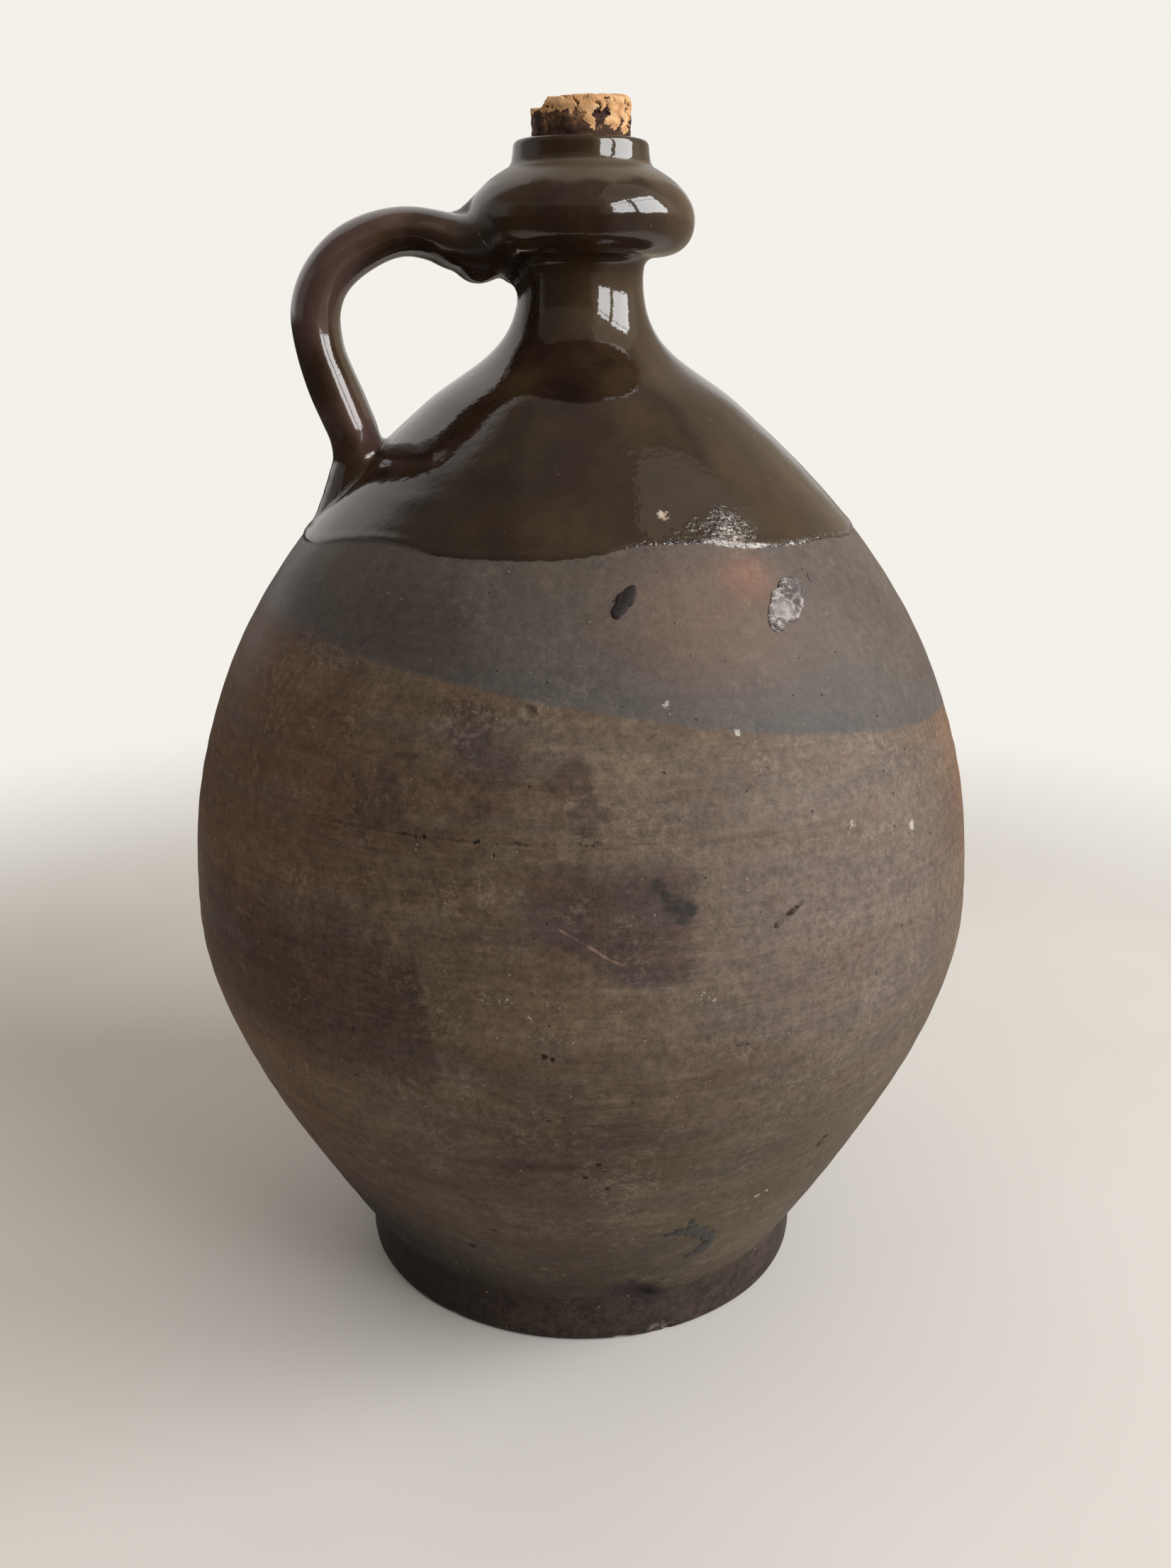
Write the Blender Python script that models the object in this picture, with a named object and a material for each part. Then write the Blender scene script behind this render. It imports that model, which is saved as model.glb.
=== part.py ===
"""A one-handled stoneware jug with a cork, put together the way its potter builds it.

The bowl and the shoulder are thrown as two sections and luted at the belly. The neck, the
collar round it and the lip on top are rings that seat on each other, the bowl stands in a
foot ring, and a pulled strap handle is pressed on with a wad of clay under its upper end.
The cork is the one loose piece. The axis of the jug is Z, its foot stands on Z = 0, and the
handle is on the -X side. Lengths are in metres.
"""
import math

import bmesh
import bpy
from mathutils import Matrix, Vector

# Facets of a full turn, and points along one curve of the profile
TURN_SEGMENTS = 48
CURVE_STEPS = 6

# Slip layer between two luted pieces, and the play of the cork in the mouth
LUTE_GAP = 0.0003
CORK_CLEARANCE = 0.0003

# Foot ring
FOOT_DIAMETER = 0.1928
FOOT_HEIGHT = 0.0195
FOOT_RING_WIDTH = 0.015
FOOT_EDGE = 0.002
FOOT_RECESS = 0.008

# Bowl and shoulder
WALL = 0.009
FLOOR_THICKNESS = 0.012
BELLY_DIAMETER = 0.3224
BELLY_RISE = 0.1505
BELLY_JOIN_RISE = 0.0655
BELLY_LAP = 0.006
SHOULDER_RISE = 0.196
SHOULDER_SLOPE = math.radians(41)

# Shape factors of the wall's curves: shares of the step from one station to the next
BOWL_START = (0.90, 0.62)
BOWL_END = 0.157
SHOULDER_START = 0.55
SHOULDER_END = 0.39
NECK_START = 0.46
NECK_END = 0.61
COLLAR_UNDER_PULL = (0.66, 0.43)
COLLAR_OVER_PULL = (0.40, 0.60, 0.75)
HANDLE_UPPER_PULL = (0.62, 0.73)
HANDLE_LOWER_PULL = (0.34, 0.37)
HANDLE_TAIL_PULL = (0.36, 0.50)
HANDLE_FLARE_SHARE = 0.6

# Neck
NECK_SEAT_DIAMETER = 0.1228
NECK_SEAT_WIDTH = 0.0075
NECK_SPIGOT_DEPTH = 0.006
NECK_SPIGOT_WALL = 0.005
NECK_DIAMETER = 0.047
NECK_FLARE_HEIGHT = 0.047
NECK_STRAIGHT_HEIGHT = 0.0073
NECK_WALL = 0.006

# Collar round the neck and lip above it
COLLAR_DIAMETER = 0.0858
COLLAR_HEIGHT = 0.032
COLLAR_BULGE_HEIGHT = 0.0132
COLLAR_UNDERSIDE = 0.0055
LIP_DIAMETER = 0.053
LIP_TOP_DIAMETER = 0.0488
LIP_HEIGHT = 0.0092
LIP_EDGE = 0.0016

# Cork
CORK_TOP_DIAMETER = 0.0376
CORK_BOTTOM_DIAMETER = 0.035
CORK_LENGTH = 0.038
CORK_SHOWS = 0.0143
CORK_EDGE = 0.0012

# Handle strap
HANDLE_THICKNESS = 0.017
HANDLE_WIDTH = 0.031
HANDLE_ROOT_WIDTH = 0.037
HANDLE_REACH = 0.1102
HANDLE_SINK = 0.007
HANDLE_SET_BELOW_BULGE = 0.0065
HANDLE_RISE = math.radians(16.8)
HANDLE_DROP = 0.030
HANDLE_ROOT_DROP = 0.0185
HANDLE_ROOT_STAND_OFF = 0.005
HANDLE_LEAN = math.radians(13.5)
HANDLE_TAIL = 0.030
HANDLE_TAIL_WIDTH = 0.022
HANDLE_TAIL_END = 0.0015
HANDLE_SIDES = 18
HANDLE_STEPS = 9

# Wad of clay pressed under the handle's upper end
WAD_LENGTH = 0.029
WAD_WIDTH = 0.025
WAD_THICKNESS = 0.0135
WAD_HANG = 0.0105
WAD_BITE = 0.003

# Colours, roughness
GLAZE_BROWN = ((0.060, 0.045, 0.030), 0.12)
HANDLE_BROWN = ((0.052, 0.034, 0.028), 0.12)
BARE_CLAY = ((0.140, 0.115, 0.092), 0.62)
FOOT_CLAY = ((0.095, 0.070, 0.055), 0.70)
CORK_TAN = ((0.420, 0.250, 0.120), 0.85)

# Heights worked out from the stack of pieces
FOOT_TOP = FOOT_HEIGHT
BELLY_Z = FOOT_TOP + BELLY_RISE
JOIN_Z = BELLY_Z + BELLY_JOIN_RISE
SEAT_Z = BELLY_Z + SHOULDER_RISE
NECK_Z = SEAT_Z + NECK_FLARE_HEIGHT
COLLAR_Z = NECK_Z + NECK_STRAIGHT_HEIGHT
BULGE_Z = COLLAR_Z + COLLAR_BULGE_HEIGHT
LIP_Z = COLLAR_Z + COLLAR_HEIGHT
RIM_Z = LIP_Z + LIP_HEIGHT
CORK_TOP_Z = RIM_Z + CORK_SHOWS
CORK_BOTTOM_Z = CORK_TOP_Z - CORK_LENGTH


def bezier(start, pull_start, pull_end, end, steps=CURVE_STEPS):
    """Points of a cubic curve in the (radius, height) plane, both ends included."""
    points = []
    for i in range(steps + 1):
        t = i / steps
        s = 1 - t
        weights = (s ** 3, 3 * s * s * t, 3 * s * t * t, t ** 3)
        corners = (start, pull_start, pull_end, end)
        points.append(tuple(sum(w * c[k] for w, c in zip(weights, corners)) for k in (0, 1)))
    return points


def offset(curve, distance):
    """The curve moved to its right: for a wall drawn upwards, away from the axis."""
    moved = []
    for i, (r, z) in enumerate(curve):
        before = curve[max(i - 1, 0)]
        after = curve[min(i + 1, len(curve) - 1)]
        along = Vector((after[0] - before[0], after[1] - before[1])).normalized()
        moved.append((r + along.y * distance, z - along.x * distance))
    return moved


def between(curve, low, high, axis=1):
    """The stretch of a curve whose height (or radius, with axis 0) lies from low to high."""
    kept = []
    for first, second in zip(curve, curve[1:]):
        a, b = first[axis], second[axis]
        ends = [first, second]
        if a == b:
            continue
        for i, limit in ((0, low if a < b else high), (1, high if a < b else low)):
            outside = (limit - ends[i][axis]) * (1 if (i == 0) == (a < b) else -1) > 0
            if outside:
                t = (limit - a) / (b - a)
                ends[i] = tuple(first[k] + (second[k] - first[k]) * t for k in (0, 1))
        if max(a, b) < low or min(a, b) > high:
            continue
        for point in ends:
            if not kept or math.dist(kept[-1], point) > 1e-7:
                kept.append(point)
    return kept


def bowl_curve():
    """Outside of the bowl, from the foot up to the widest place."""
    foot = FOOT_DIAMETER / 2
    belly = BELLY_DIAMETER / 2
    pull = (foot + BOWL_START[0] * (belly - foot), FOOT_TOP + BOWL_START[1] * BELLY_RISE)
    return bezier((foot, FOOT_TOP), pull, (belly, BELLY_Z - BOWL_END * BELLY_RISE), (belly, BELLY_Z))


def slope_point(distance):
    """A point on the shoulder's tangent where the neck seats, by its radial distance inwards."""
    return (NECK_SEAT_DIAMETER / 2 - distance, SEAT_Z + distance * math.tan(SHOULDER_SLOPE))


def shoulder_curve():
    """Outside of the shoulder, from the widest place up to the neck's seat."""
    belly = BELLY_DIAMETER / 2
    start = (belly, BELLY_Z + SHOULDER_START * SHOULDER_RISE)
    end = slope_point(-SHOULDER_END * (belly - NECK_SEAT_DIAMETER / 2))
    return bezier((belly, BELLY_Z), start, end, slope_point(0), 2 * CURVE_STEPS)


def neck_curve():
    """Outside of the neck, from its seat up to where it runs straight."""
    neck = NECK_DIAMETER / 2
    start = slope_point(NECK_START * (NECK_SEAT_DIAMETER / 2 - neck))
    end = (neck, NECK_Z - NECK_END * NECK_FLARE_HEIGHT)
    return bezier(slope_point(0), start, end, (neck, NECK_Z))


def collar_curve():
    """Outside of the collar, from the neck under it up to the lip."""
    bulge = COLLAR_DIAMETER / 2
    under = NECK_DIAMETER / 2 + COLLAR_UNDERSIDE
    low = BULGE_Z - COLLAR_Z
    high = LIP_Z - BULGE_Z
    lip = LIP_DIAMETER / 2
    out, up = COLLAR_UNDER_PULL
    below = bezier((under, COLLAR_Z), (under + out * (bulge - under), COLLAR_Z),
                   (bulge, COLLAR_Z + up * low), (bulge, BULGE_Z))
    first, out, up = COLLAR_OVER_PULL
    above = bezier((bulge, BULGE_Z), (bulge, BULGE_Z + first * high),
                   (lip + out * (bulge - lip), BULGE_Z + up * high), (lip, LIP_Z))
    return below + above[1:]


def wall_curve():
    """The whole outside of the body, from the foot to the collar's underside."""
    return bowl_curve() + shoulder_curve()[1:] + neck_curve()[1:]


def cork_radius(z):
    share = (z - CORK_BOTTOM_Z) / CORK_LENGTH
    return (CORK_BOTTOM_DIAMETER + (CORK_TOP_DIAMETER - CORK_BOTTOM_DIAMETER) * share) / 2


def mouth_radius(z):
    return cork_radius(z) + CORK_CLEARANCE


def new_object(name, mesh, finish):
    """Link a mesh as a named piece with its own material."""
    for polygon in mesh.polygons:
        polygon.use_smooth = True
    mesh.set_sharp_from_angle(angle=math.radians(35))
    piece = bpy.data.objects.new(name, mesh)
    bpy.context.scene.collection.objects.link(piece)
    if finish is None:
        piece.hide_render = True
        piece.display_type = 'WIRE'
        return piece
    colour, roughness = finish
    material = bpy.data.materials.new(name)
    material.use_nodes = True
    shader = material.node_tree.nodes['Principled BSDF']
    shader.inputs['Base Color'].default_value = (*colour, 1)
    shader.inputs['Roughness'].default_value = roughness
    shader.inputs['Metallic'].default_value = 0
    piece.data.materials.append(material)
    return piece


def turned(name, outline, finish):
    """Spin a closed (radius, height) outline round Z into one solid."""
    shape = bmesh.new()
    points = [shape.verts.new((r, 0, z)) for r, z in outline]
    edges = [shape.edges.new((a, b)) for a, b in zip(points, points[1:] + points[:1])]
    bmesh.ops.spin(shape, geom=points + edges, cent=(0, 0, 0), axis=(0, 0, 1),
                   angle=math.tau, steps=TURN_SEGMENTS, use_merge=True)
    bmesh.ops.remove_doubles(shape, verts=shape.verts, dist=1e-6)
    bmesh.ops.dissolve_degenerate(shape, edges=shape.edges, dist=1e-6)
    bmesh.ops.delete(shape, geom=[e for e in shape.edges if not e.link_faces], context='EDGES')
    bmesh.ops.recalc_face_normals(shape, faces=shape.faces)
    mesh = bpy.data.meshes.new(name)
    shape.to_mesh(mesh)
    shape.free()
    return new_object(name, mesh, finish)


def cut(piece, cutter):
    """Take a hidden cutter away from a piece."""
    modifier = piece.modifiers.new(cutter.name, 'BOOLEAN')
    modifier.operation = 'DIFFERENCE'
    modifier.solver = 'EXACT'
    modifier.object = cutter


def foot_ring():
    outer = FOOT_DIAMETER / 2
    inner = outer - FOOT_RING_WIDTH
    outline = [(outer - FOOT_EDGE, 0), (outer, FOOT_EDGE), (outer, FOOT_TOP),
               (inner, FOOT_TOP), (inner, FOOT_EDGE), (inner + FOOT_EDGE, 0)]
    return turned('foot_ring', outline, FOOT_CLAY)


def join_radius(wall):
    """Middle of the wall at the belly joint, where the two sections lap."""
    outer = between(wall, JOIN_Z, JOIN_Z + BELLY_LAP)[0][0]
    return outer - WALL / 2


def lower_body():
    wall = wall_curve()
    base = FOOT_TOP + LUTE_GAP
    floor_top = FOOT_RECESS + FLOOR_THICKNESS
    spigot = FOOT_DIAMETER / 2 - FOOT_RING_WIDTH - LUTE_GAP
    lap_top = JOIN_Z + BELLY_LAP
    middle = join_radius(wall)
    outside = between(wall, base, JOIN_Z)
    inside = between(offset(wall, -WALL), max(floor_top, base), lap_top)
    corner = (inside[0][0], floor_top)
    outline = outside + [(middle, JOIN_Z), (middle, lap_top)] + inside[::-1]
    if math.dist(corner, inside[0]) > 1e-6:
        outline.append(corner)
    outline += [(0, floor_top), (0, FOOT_RECESS), (spigot, FOOT_RECESS), (spigot, base)]
    return turned('lower_body', outline, BARE_CLAY)


def upper_body():
    wall = wall_curve()
    joint = JOIN_Z + LUTE_GAP
    lap_top = joint + BELLY_LAP
    middle = join_radius(wall) + LUTE_GAP
    opening = NECK_SEAT_DIAMETER / 2 - NECK_SEAT_WIDTH
    outside = between(wall, joint, SEAT_Z)
    inside = between(offset(wall, -WALL), lap_top, SEAT_Z)
    inside = between(inside, opening, BELLY_DIAMETER, axis=0)
    outline = outside + [(opening, SEAT_Z)] + inside[::-1] + [(middle, lap_top), (middle, joint)]
    return turned('upper_body', outline, GLAZE_BROWN)


def neck():
    seat = SEAT_Z + LUTE_GAP
    radius = NECK_DIAMETER / 2
    spigot = NECK_SEAT_DIAMETER / 2 - NECK_SEAT_WIDTH - LUTE_GAP
    spigot_bottom = SEAT_Z - NECK_SPIGOT_DEPTH
    outside = between(neck_curve(), seat, NECK_Z) + [(radius, LIP_Z)]
    mouth = [(mouth_radius(LIP_Z), LIP_Z), (mouth_radius(CORK_BOTTOM_Z), CORK_BOTTOM_Z)]
    bore = [point for point in offset(neck_curve(), -NECK_WALL)[::-1] if point[1] < CORK_BOTTOM_Z]
    bore = between(bore, 0, spigot - NECK_SPIGOT_WALL, axis=0)
    throat = [(spigot - NECK_SPIGOT_WALL, spigot_bottom), (spigot, spigot_bottom), (spigot, seat)]
    return turned('neck', outside + mouth + bore + throat, GLAZE_BROWN)


def collar():
    inner = NECK_DIAMETER / 2 + LUTE_GAP
    outline = collar_curve() + [(inner, LIP_Z), (inner, COLLAR_Z)]
    return turned('collar', outline, GLAZE_BROWN)


def lip_ring():
    seat = LIP_Z + LUTE_GAP
    top = LIP_TOP_DIAMETER / 2
    mouth = mouth_radius(RIM_Z)
    outline = [(LIP_DIAMETER / 2, seat), (top, RIM_Z - LIP_EDGE), (top - LIP_EDGE, RIM_Z),
               (mouth + LIP_EDGE / 2, RIM_Z), (mouth_radius(RIM_Z - LIP_EDGE), RIM_Z - LIP_EDGE),
               (mouth_radius(seat), seat)]
    return turned('lip_ring', outline, GLAZE_BROWN)


def cork_stopper():
    top = CORK_TOP_DIAMETER / 2
    bottom = CORK_BOTTOM_DIAMETER / 2
    outline = [(0, CORK_TOP_Z), (top - CORK_EDGE, CORK_TOP_Z),
               (cork_radius(CORK_TOP_Z - CORK_EDGE), CORK_TOP_Z - CORK_EDGE),
               (cork_radius(CORK_BOTTOM_Z + CORK_EDGE), CORK_BOTTOM_Z + CORK_EDGE),
               (bottom - CORK_EDGE, CORK_BOTTOM_Z), (0, CORK_BOTTOM_Z)]
    return turned('cork_stopper', outline, CORK_TAN)


def handle_path():
    """Centre line of the strap, as (reach from the axis, height) with its width there."""
    shoulder = shoulder_curve()
    half = HANDLE_THICKNESS / 2
    start = Vector((COLLAR_DIAMETER / 2 - HANDLE_SINK, BULGE_Z - HANDLE_SET_BELOW_BULGE))
    reach = HANDLE_REACH - half
    crown = Vector((reach, start.y - HANDLE_DROP))
    root_z = SEAT_Z - HANDLE_ROOT_DROP
    root = Vector((between(shoulder, root_z, SEAT_Z)[0][0] + HANDLE_ROOT_STAND_OFF, root_z))
    span = reach - start.x
    fall = crown.y - root_z
    rising = Vector((math.cos(HANDLE_RISE), math.sin(HANDLE_RISE)))
    leaning = Vector((-math.sin(HANDLE_LEAN), -math.cos(HANDLE_LEAN)))
    down = Vector((0, -1))
    tail_run = between(shoulder, root_z - HANDLE_TAIL, root_z)
    sunk = offset(tail_run, -(half - HANDLE_TAIL_END))
    end = Vector(sunk[0])
    along = (Vector(sunk[0]) - Vector(sunk[1])).normalized()
    out, up = HANDLE_UPPER_PULL
    upper = bezier(start, start + rising * out * span, crown - down * up * HANDLE_DROP, crown,
                   HANDLE_STEPS)
    out, up = HANDLE_LOWER_PULL
    lower = bezier(crown, crown + down * out * fall, root - leaning * up * fall, root, HANDLE_STEPS)
    out, up = HANDLE_TAIL_PULL
    tail = bezier(root, root + leaning * out * HANDLE_TAIL, end - along * up * HANDLE_TAIL, end,
                  HANDLE_STEPS)
    centres = [Vector(p) for p in upper + lower[1:] + tail[1:]]
    widths = []
    for centre in centres:
        near_top = max(0, 1 - (centre - start).length / (HANDLE_FLARE_SHARE * span))
        near_root = max(0, min(1, 1 - (centre.y - root_z) / (HANDLE_FLARE_SHARE * fall)))
        down_tail = max(0, (root_z - centre.y) / (root_z - end.y))
        width = HANDLE_WIDTH + (HANDLE_ROOT_WIDTH - HANDLE_WIDTH) * max(near_top, near_root) ** 2
        widths.append(width + (HANDLE_TAIL_WIDTH - HANDLE_ROOT_WIDTH) * down_tail)
    return list(zip(centres, widths))


def strap(name, finish, grown=0.0):
    """Sweep an oval section along the handle's centre line, grown all round for a cutter."""
    path = handle_path()
    shape = bmesh.new()
    rings = []
    for i, (centre, width) in enumerate(path):
        before = path[max(i - 1, 0)][0]
        after = path[min(i + 1, len(path) - 1)][0]
        along = (after - before).normalized()
        frame = Matrix(((along.y, 0, -along.x, -centre.x), (0, 1, 0, 0),
                        (along.x, 0, along.y, centre.y), (0, 0, 0, 1)))
        size = Matrix.Diagonal((HANDLE_THICKNESS / 2 + grown, width / 2 + grown, 1, 1))
        ring = bmesh.ops.create_circle(shape, cap_ends=False, segments=HANDLE_SIDES, radius=1,
                                       matrix=frame @ size)['verts']
        rings.append(ring)
    for first, second in zip(rings, rings[1:]):
        edges = [e for e in shape.edges if all(v in first for v in e.verts)]
        edges += [e for e in shape.edges if all(v in second for v in e.verts)]
        bmesh.ops.bridge_loops(shape, edges=edges)
    for ring in (rings[0], rings[-1]):
        shape.faces.new(ring)
    bmesh.ops.recalc_face_normals(shape, faces=shape.faces)
    mesh = bpy.data.meshes.new(name)
    shape.to_mesh(mesh)
    shape.free()
    return new_object(name, mesh, finish)


def wad(name, finish):
    """Lump of clay under the collar, between the neck and the underside of the strap."""
    middle = NECK_DIAMETER / 2 + WAD_LENGTH / 2 - WAD_BITE
    shape = bmesh.new()
    size = Matrix.Diagonal((WAD_LENGTH / 2, WAD_WIDTH / 2, WAD_THICKNESS / 2, 1))
    place = Matrix.Translation((-middle, 0, COLLAR_Z - WAD_HANG + WAD_THICKNESS / 2))
    bmesh.ops.create_uvsphere(shape, u_segments=16, v_segments=10, radius=1, matrix=place @ size)
    bmesh.ops.recalc_face_normals(shape, faces=shape.faces)
    mesh = bpy.data.meshes.new(name)
    shape.to_mesh(mesh)
    shape.free()
    return new_object(name, mesh, finish)


def jug_cutter():
    """The jug's outside from the belly to the collar, grown by the slip layer."""
    wall = between(shoulder_curve(), JOIN_Z, SEAT_Z) + neck_curve()[1:]
    radius = NECK_DIAMETER / 2 + LUTE_GAP
    outside = between(offset(wall, LUTE_GAP), 0, NECK_Z)
    ring = offset(collar_curve(), LUTE_GAP)
    outline = outside + [(radius, COLLAR_Z - LUTE_GAP)] + ring + [(0, LIP_Z), (0, outside[0][1])]
    return turned('jug_cutter', outline, None)


def build():
    for old in list(bpy.data.objects):
        bpy.data.objects.remove(old, do_unlink=True)
    foot_ring()
    lower_body()
    upper_body()
    neck()
    collar()
    lip_ring()
    cork_stopper()
    jug = jug_cutter()
    handle = strap('handle', HANDLE_BROWN)
    cut(handle, jug)
    lump = wad('handle_wad', HANDLE_BROWN)
    cut(lump, jug)
    cut(lump, strap('strap_cutter', None, grown=LUTE_GAP))


build()
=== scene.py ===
"""Dressed model of a one-handled stoneware jug with its cork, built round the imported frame."""
import math

import bpy
import numpy as np
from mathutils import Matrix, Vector


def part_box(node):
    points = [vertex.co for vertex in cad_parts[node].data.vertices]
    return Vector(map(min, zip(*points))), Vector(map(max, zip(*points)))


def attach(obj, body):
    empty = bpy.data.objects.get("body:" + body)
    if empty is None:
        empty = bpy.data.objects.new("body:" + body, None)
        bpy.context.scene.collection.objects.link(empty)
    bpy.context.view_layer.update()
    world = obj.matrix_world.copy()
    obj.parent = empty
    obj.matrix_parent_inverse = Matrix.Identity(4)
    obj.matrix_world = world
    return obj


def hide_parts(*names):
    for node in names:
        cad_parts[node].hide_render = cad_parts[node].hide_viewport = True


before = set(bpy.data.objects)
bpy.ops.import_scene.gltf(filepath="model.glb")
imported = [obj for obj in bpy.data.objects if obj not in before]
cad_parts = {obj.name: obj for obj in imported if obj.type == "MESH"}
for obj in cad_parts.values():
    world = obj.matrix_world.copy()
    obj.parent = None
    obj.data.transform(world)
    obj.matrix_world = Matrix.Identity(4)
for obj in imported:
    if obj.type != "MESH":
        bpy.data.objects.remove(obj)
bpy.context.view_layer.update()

# Sizes that the frame gives, in metres
FOOT_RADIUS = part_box("foot_ring")[1].x
FOOT_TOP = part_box("foot_ring")[1].z
BELLY_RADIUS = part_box("lower_body")[1].x
COLLAR_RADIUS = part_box("collar")[1].x
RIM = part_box("lip_ring")[1].z
CORK_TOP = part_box("cork_stopper")[1].z
CORK_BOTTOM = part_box("cork_stopper")[0].z

# Heights of the clay pieces
BELLY = 0.170
JOIN = 0.2355
SEAT = 0.366
NECK_TOP = 0.413
COLLAR_FOOT = 0.4203
BULGE = 0.4335
LIP_FOOT = 0.4523

# Walls and bores
BODY_WALL = 0.009
FLOOR_UNDER = 0.008
FLOOR_TOP = 0.020
FOOT_BORE = 0.0814
NECK_RADIUS = 0.0235
NECK_BORE = 0.0175
SEAT_RADIUS = 0.0614
LAP = 0.006
CORK_ROOM = 0.0003
CORK_RADIUS_LOW = 0.0175
CORK_RADIUS_HIGH = 0.0188

# Slope of the shoulder at the neck's seat, and the step that slopes are measured over
SEAT_SLOPE = math.radians(41)
SLOPE_STEP = 0.0008

# The handle faces -X, and the viewer stands 9 degrees round from -Y towards it
VIEW_TURN = math.radians(9)
SEGMENTS = 256


def cubic(start, pull_start, pull_end, end, count=120):
    """Points of a cubic curve in the (radius, height) plane."""
    t = np.linspace(0, 1, count)[:, None]
    s = 1 - t
    a, b, c, d = [np.array(p, float) for p in (start, pull_start, pull_end, end)]
    return s ** 3 * a + 3 * s * s * t * b + 3 * s * t * t * c + t ** 3 * d


def spaced(curve, step):
    """The same curve with its points about one step apart."""
    run = np.concatenate([[0], np.cumsum(np.linalg.norm(np.diff(curve, axis=0), axis=1))])
    marks = np.linspace(0, run[-1], max(2, round(run[-1] / step) + 1))
    return np.stack([np.interp(marks, run, curve[:, k]) for k in range(curve.shape[1])], axis=1)


def on_slope(distance):
    """A point on the shoulder's tangent at the neck's seat, by its distance inwards."""
    return (SEAT_RADIUS - distance, SEAT + distance * math.tan(SEAT_SLOPE))


def jug_wall():
    """Outside of the jug from the foot's top to the collar, as (radius, height)."""
    spread = BELLY_RADIUS - FOOT_RADIUS
    rise = BELLY - FOOT_TOP
    bowl = cubic((FOOT_RADIUS, FOOT_TOP), (FOOT_RADIUS + 0.9 * spread, FOOT_TOP + 0.62 * rise),
                 (BELLY_RADIUS, BELLY - 0.157 * rise), (BELLY_RADIUS, BELLY))
    shoulder = cubic((BELLY_RADIUS, BELLY), (BELLY_RADIUS, BELLY + 0.55 * (SEAT - BELLY)),
                     on_slope(-0.39 * (BELLY_RADIUS - SEAT_RADIUS)), on_slope(0))
    neck = cubic(on_slope(0), on_slope(0.46 * (SEAT_RADIUS - NECK_RADIUS)),
                 (NECK_RADIUS, NECK_TOP - 0.61 * (NECK_TOP - SEAT)), (NECK_RADIUS, NECK_TOP))
    return np.vstack([bowl, shoulder[1:], neck[1:], [(NECK_RADIUS, COLLAR_FOOT + 0.01)]])


WALL = jug_wall()


def wall_radius(height):
    return np.interp(height, WALL[:, 1], WALL[:, 0])


def wall_slope(height):
    return (wall_radius(height + SLOPE_STEP) - wall_radius(height - SLOPE_STEP)) / (2 * SLOPE_STEP)


def outside(low, high, step, fine=()):
    """The wall between two heights, with rings a step apart and closer in the fine bands."""
    heights = [low]
    while heights[-1] < high - 1e-6:
        z = heights[-1]
        pitch = min([step] + [s for a, b, s in fine if a - s < z < b])
        heights.append(min(z + pitch / math.hypot(1, wall_slope(z)), high))
    if heights[-1] - heights[-2] < 1e-4:
        heights.pop(-2)
    return [(float(wall_radius(z)), z) for z in heights]


def inside(high, low, thickness, step=0.006):
    """The wall's inner face between two heights, from the top down."""
    points = []
    for z in np.linspace(high, low, max(2, round((high - low) / step))):
        slope = float(wall_slope(z))
        points.append((float(wall_radius(z)) - thickness * math.hypot(1, slope), float(z)))
    return points


def on_wall(azimuth, height, lift=0.0):
    """A point on the wall. The azimuth is in degrees from the viewer's side, positive to the right."""
    angle = math.radians(azimuth) - VIEW_TURN
    slope = float(wall_slope(height))
    size = math.hypot(1, slope)
    radius = float(wall_radius(height)) + lift / size
    return Vector((radius * math.sin(angle), -radius * math.cos(angle), height - lift * slope / size))


# Modelling, as by hand


def deselect():
    bpy.ops.object.select_all(action='DESELECT')


def pick(piece):
    """Select one piece alone and make it the active one."""
    deselect()
    piece.select_set(True)
    bpy.context.view_layer.objects.active = piece


def added(name):
    """The primitive that was just added, under a name."""
    piece = bpy.context.object
    piece.name = name
    return piece


def mode(name):
    bpy.ops.object.mode_set(mode=name)


# Most cuts that one subdivision makes
MOST_CUTS = 90


def turned(name, outline, segments=SEGMENTS):
    """Cut an edge into points, lay them along an outline in the XZ plane and spin it round the jug's axis."""
    outline = list(outline)
    rounds = math.ceil(len(outline) / MOST_CUTS)
    while (len(outline) - 1) % rounds:
        gaps = [math.dist(a, b) for a, b in zip(outline, outline[1:])]
        widest = gaps.index(max(gaps))
        (r0, z0), (r1, z1) = outline[widest:widest + 2]
        outline.insert(widest + 1, ((r0 + r1) / 2, (z0 + z1) / 2))
    deselect()
    bpy.ops.mesh.primitive_plane_add(size=2)
    piece = added(name)
    piece.data.polygons.foreach_set("select", (False,))
    piece.data.edges.foreach_set("select", (False,) * 4)
    for vertex in piece.data.vertices:
        vertex.select = vertex.co.y > 0
    mode('EDIT')
    bpy.ops.mesh.delete(type='VERT')
    bpy.ops.mesh.select_all(action='SELECT')
    if rounds > 1:
        bpy.ops.mesh.subdivide(number_cuts=rounds - 1)
    bpy.ops.mesh.subdivide(number_cuts=(len(outline) - 1) // rounds - 1)
    mode('OBJECT')
    order = np.argsort(points_of(piece)[:, 0])
    points = np.zeros((len(outline), 3))
    points[order, 0] = [radius for radius, height in outline]
    points[order, 2] = [height for radius, height in outline]
    move_to(piece, points)
    mode('EDIT')
    bpy.ops.mesh.select_all(action='SELECT')
    bpy.ops.mesh.spin(steps=segments, angle=math.tau, center=(0, 0, 0), axis=(0, 0, 1))
    bpy.ops.mesh.select_all(action='SELECT')
    bpy.ops.mesh.remove_doubles(threshold=1e-5)
    bpy.ops.mesh.normals_make_consistent(inside=False)
    mode('OBJECT')
    return piece


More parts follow.
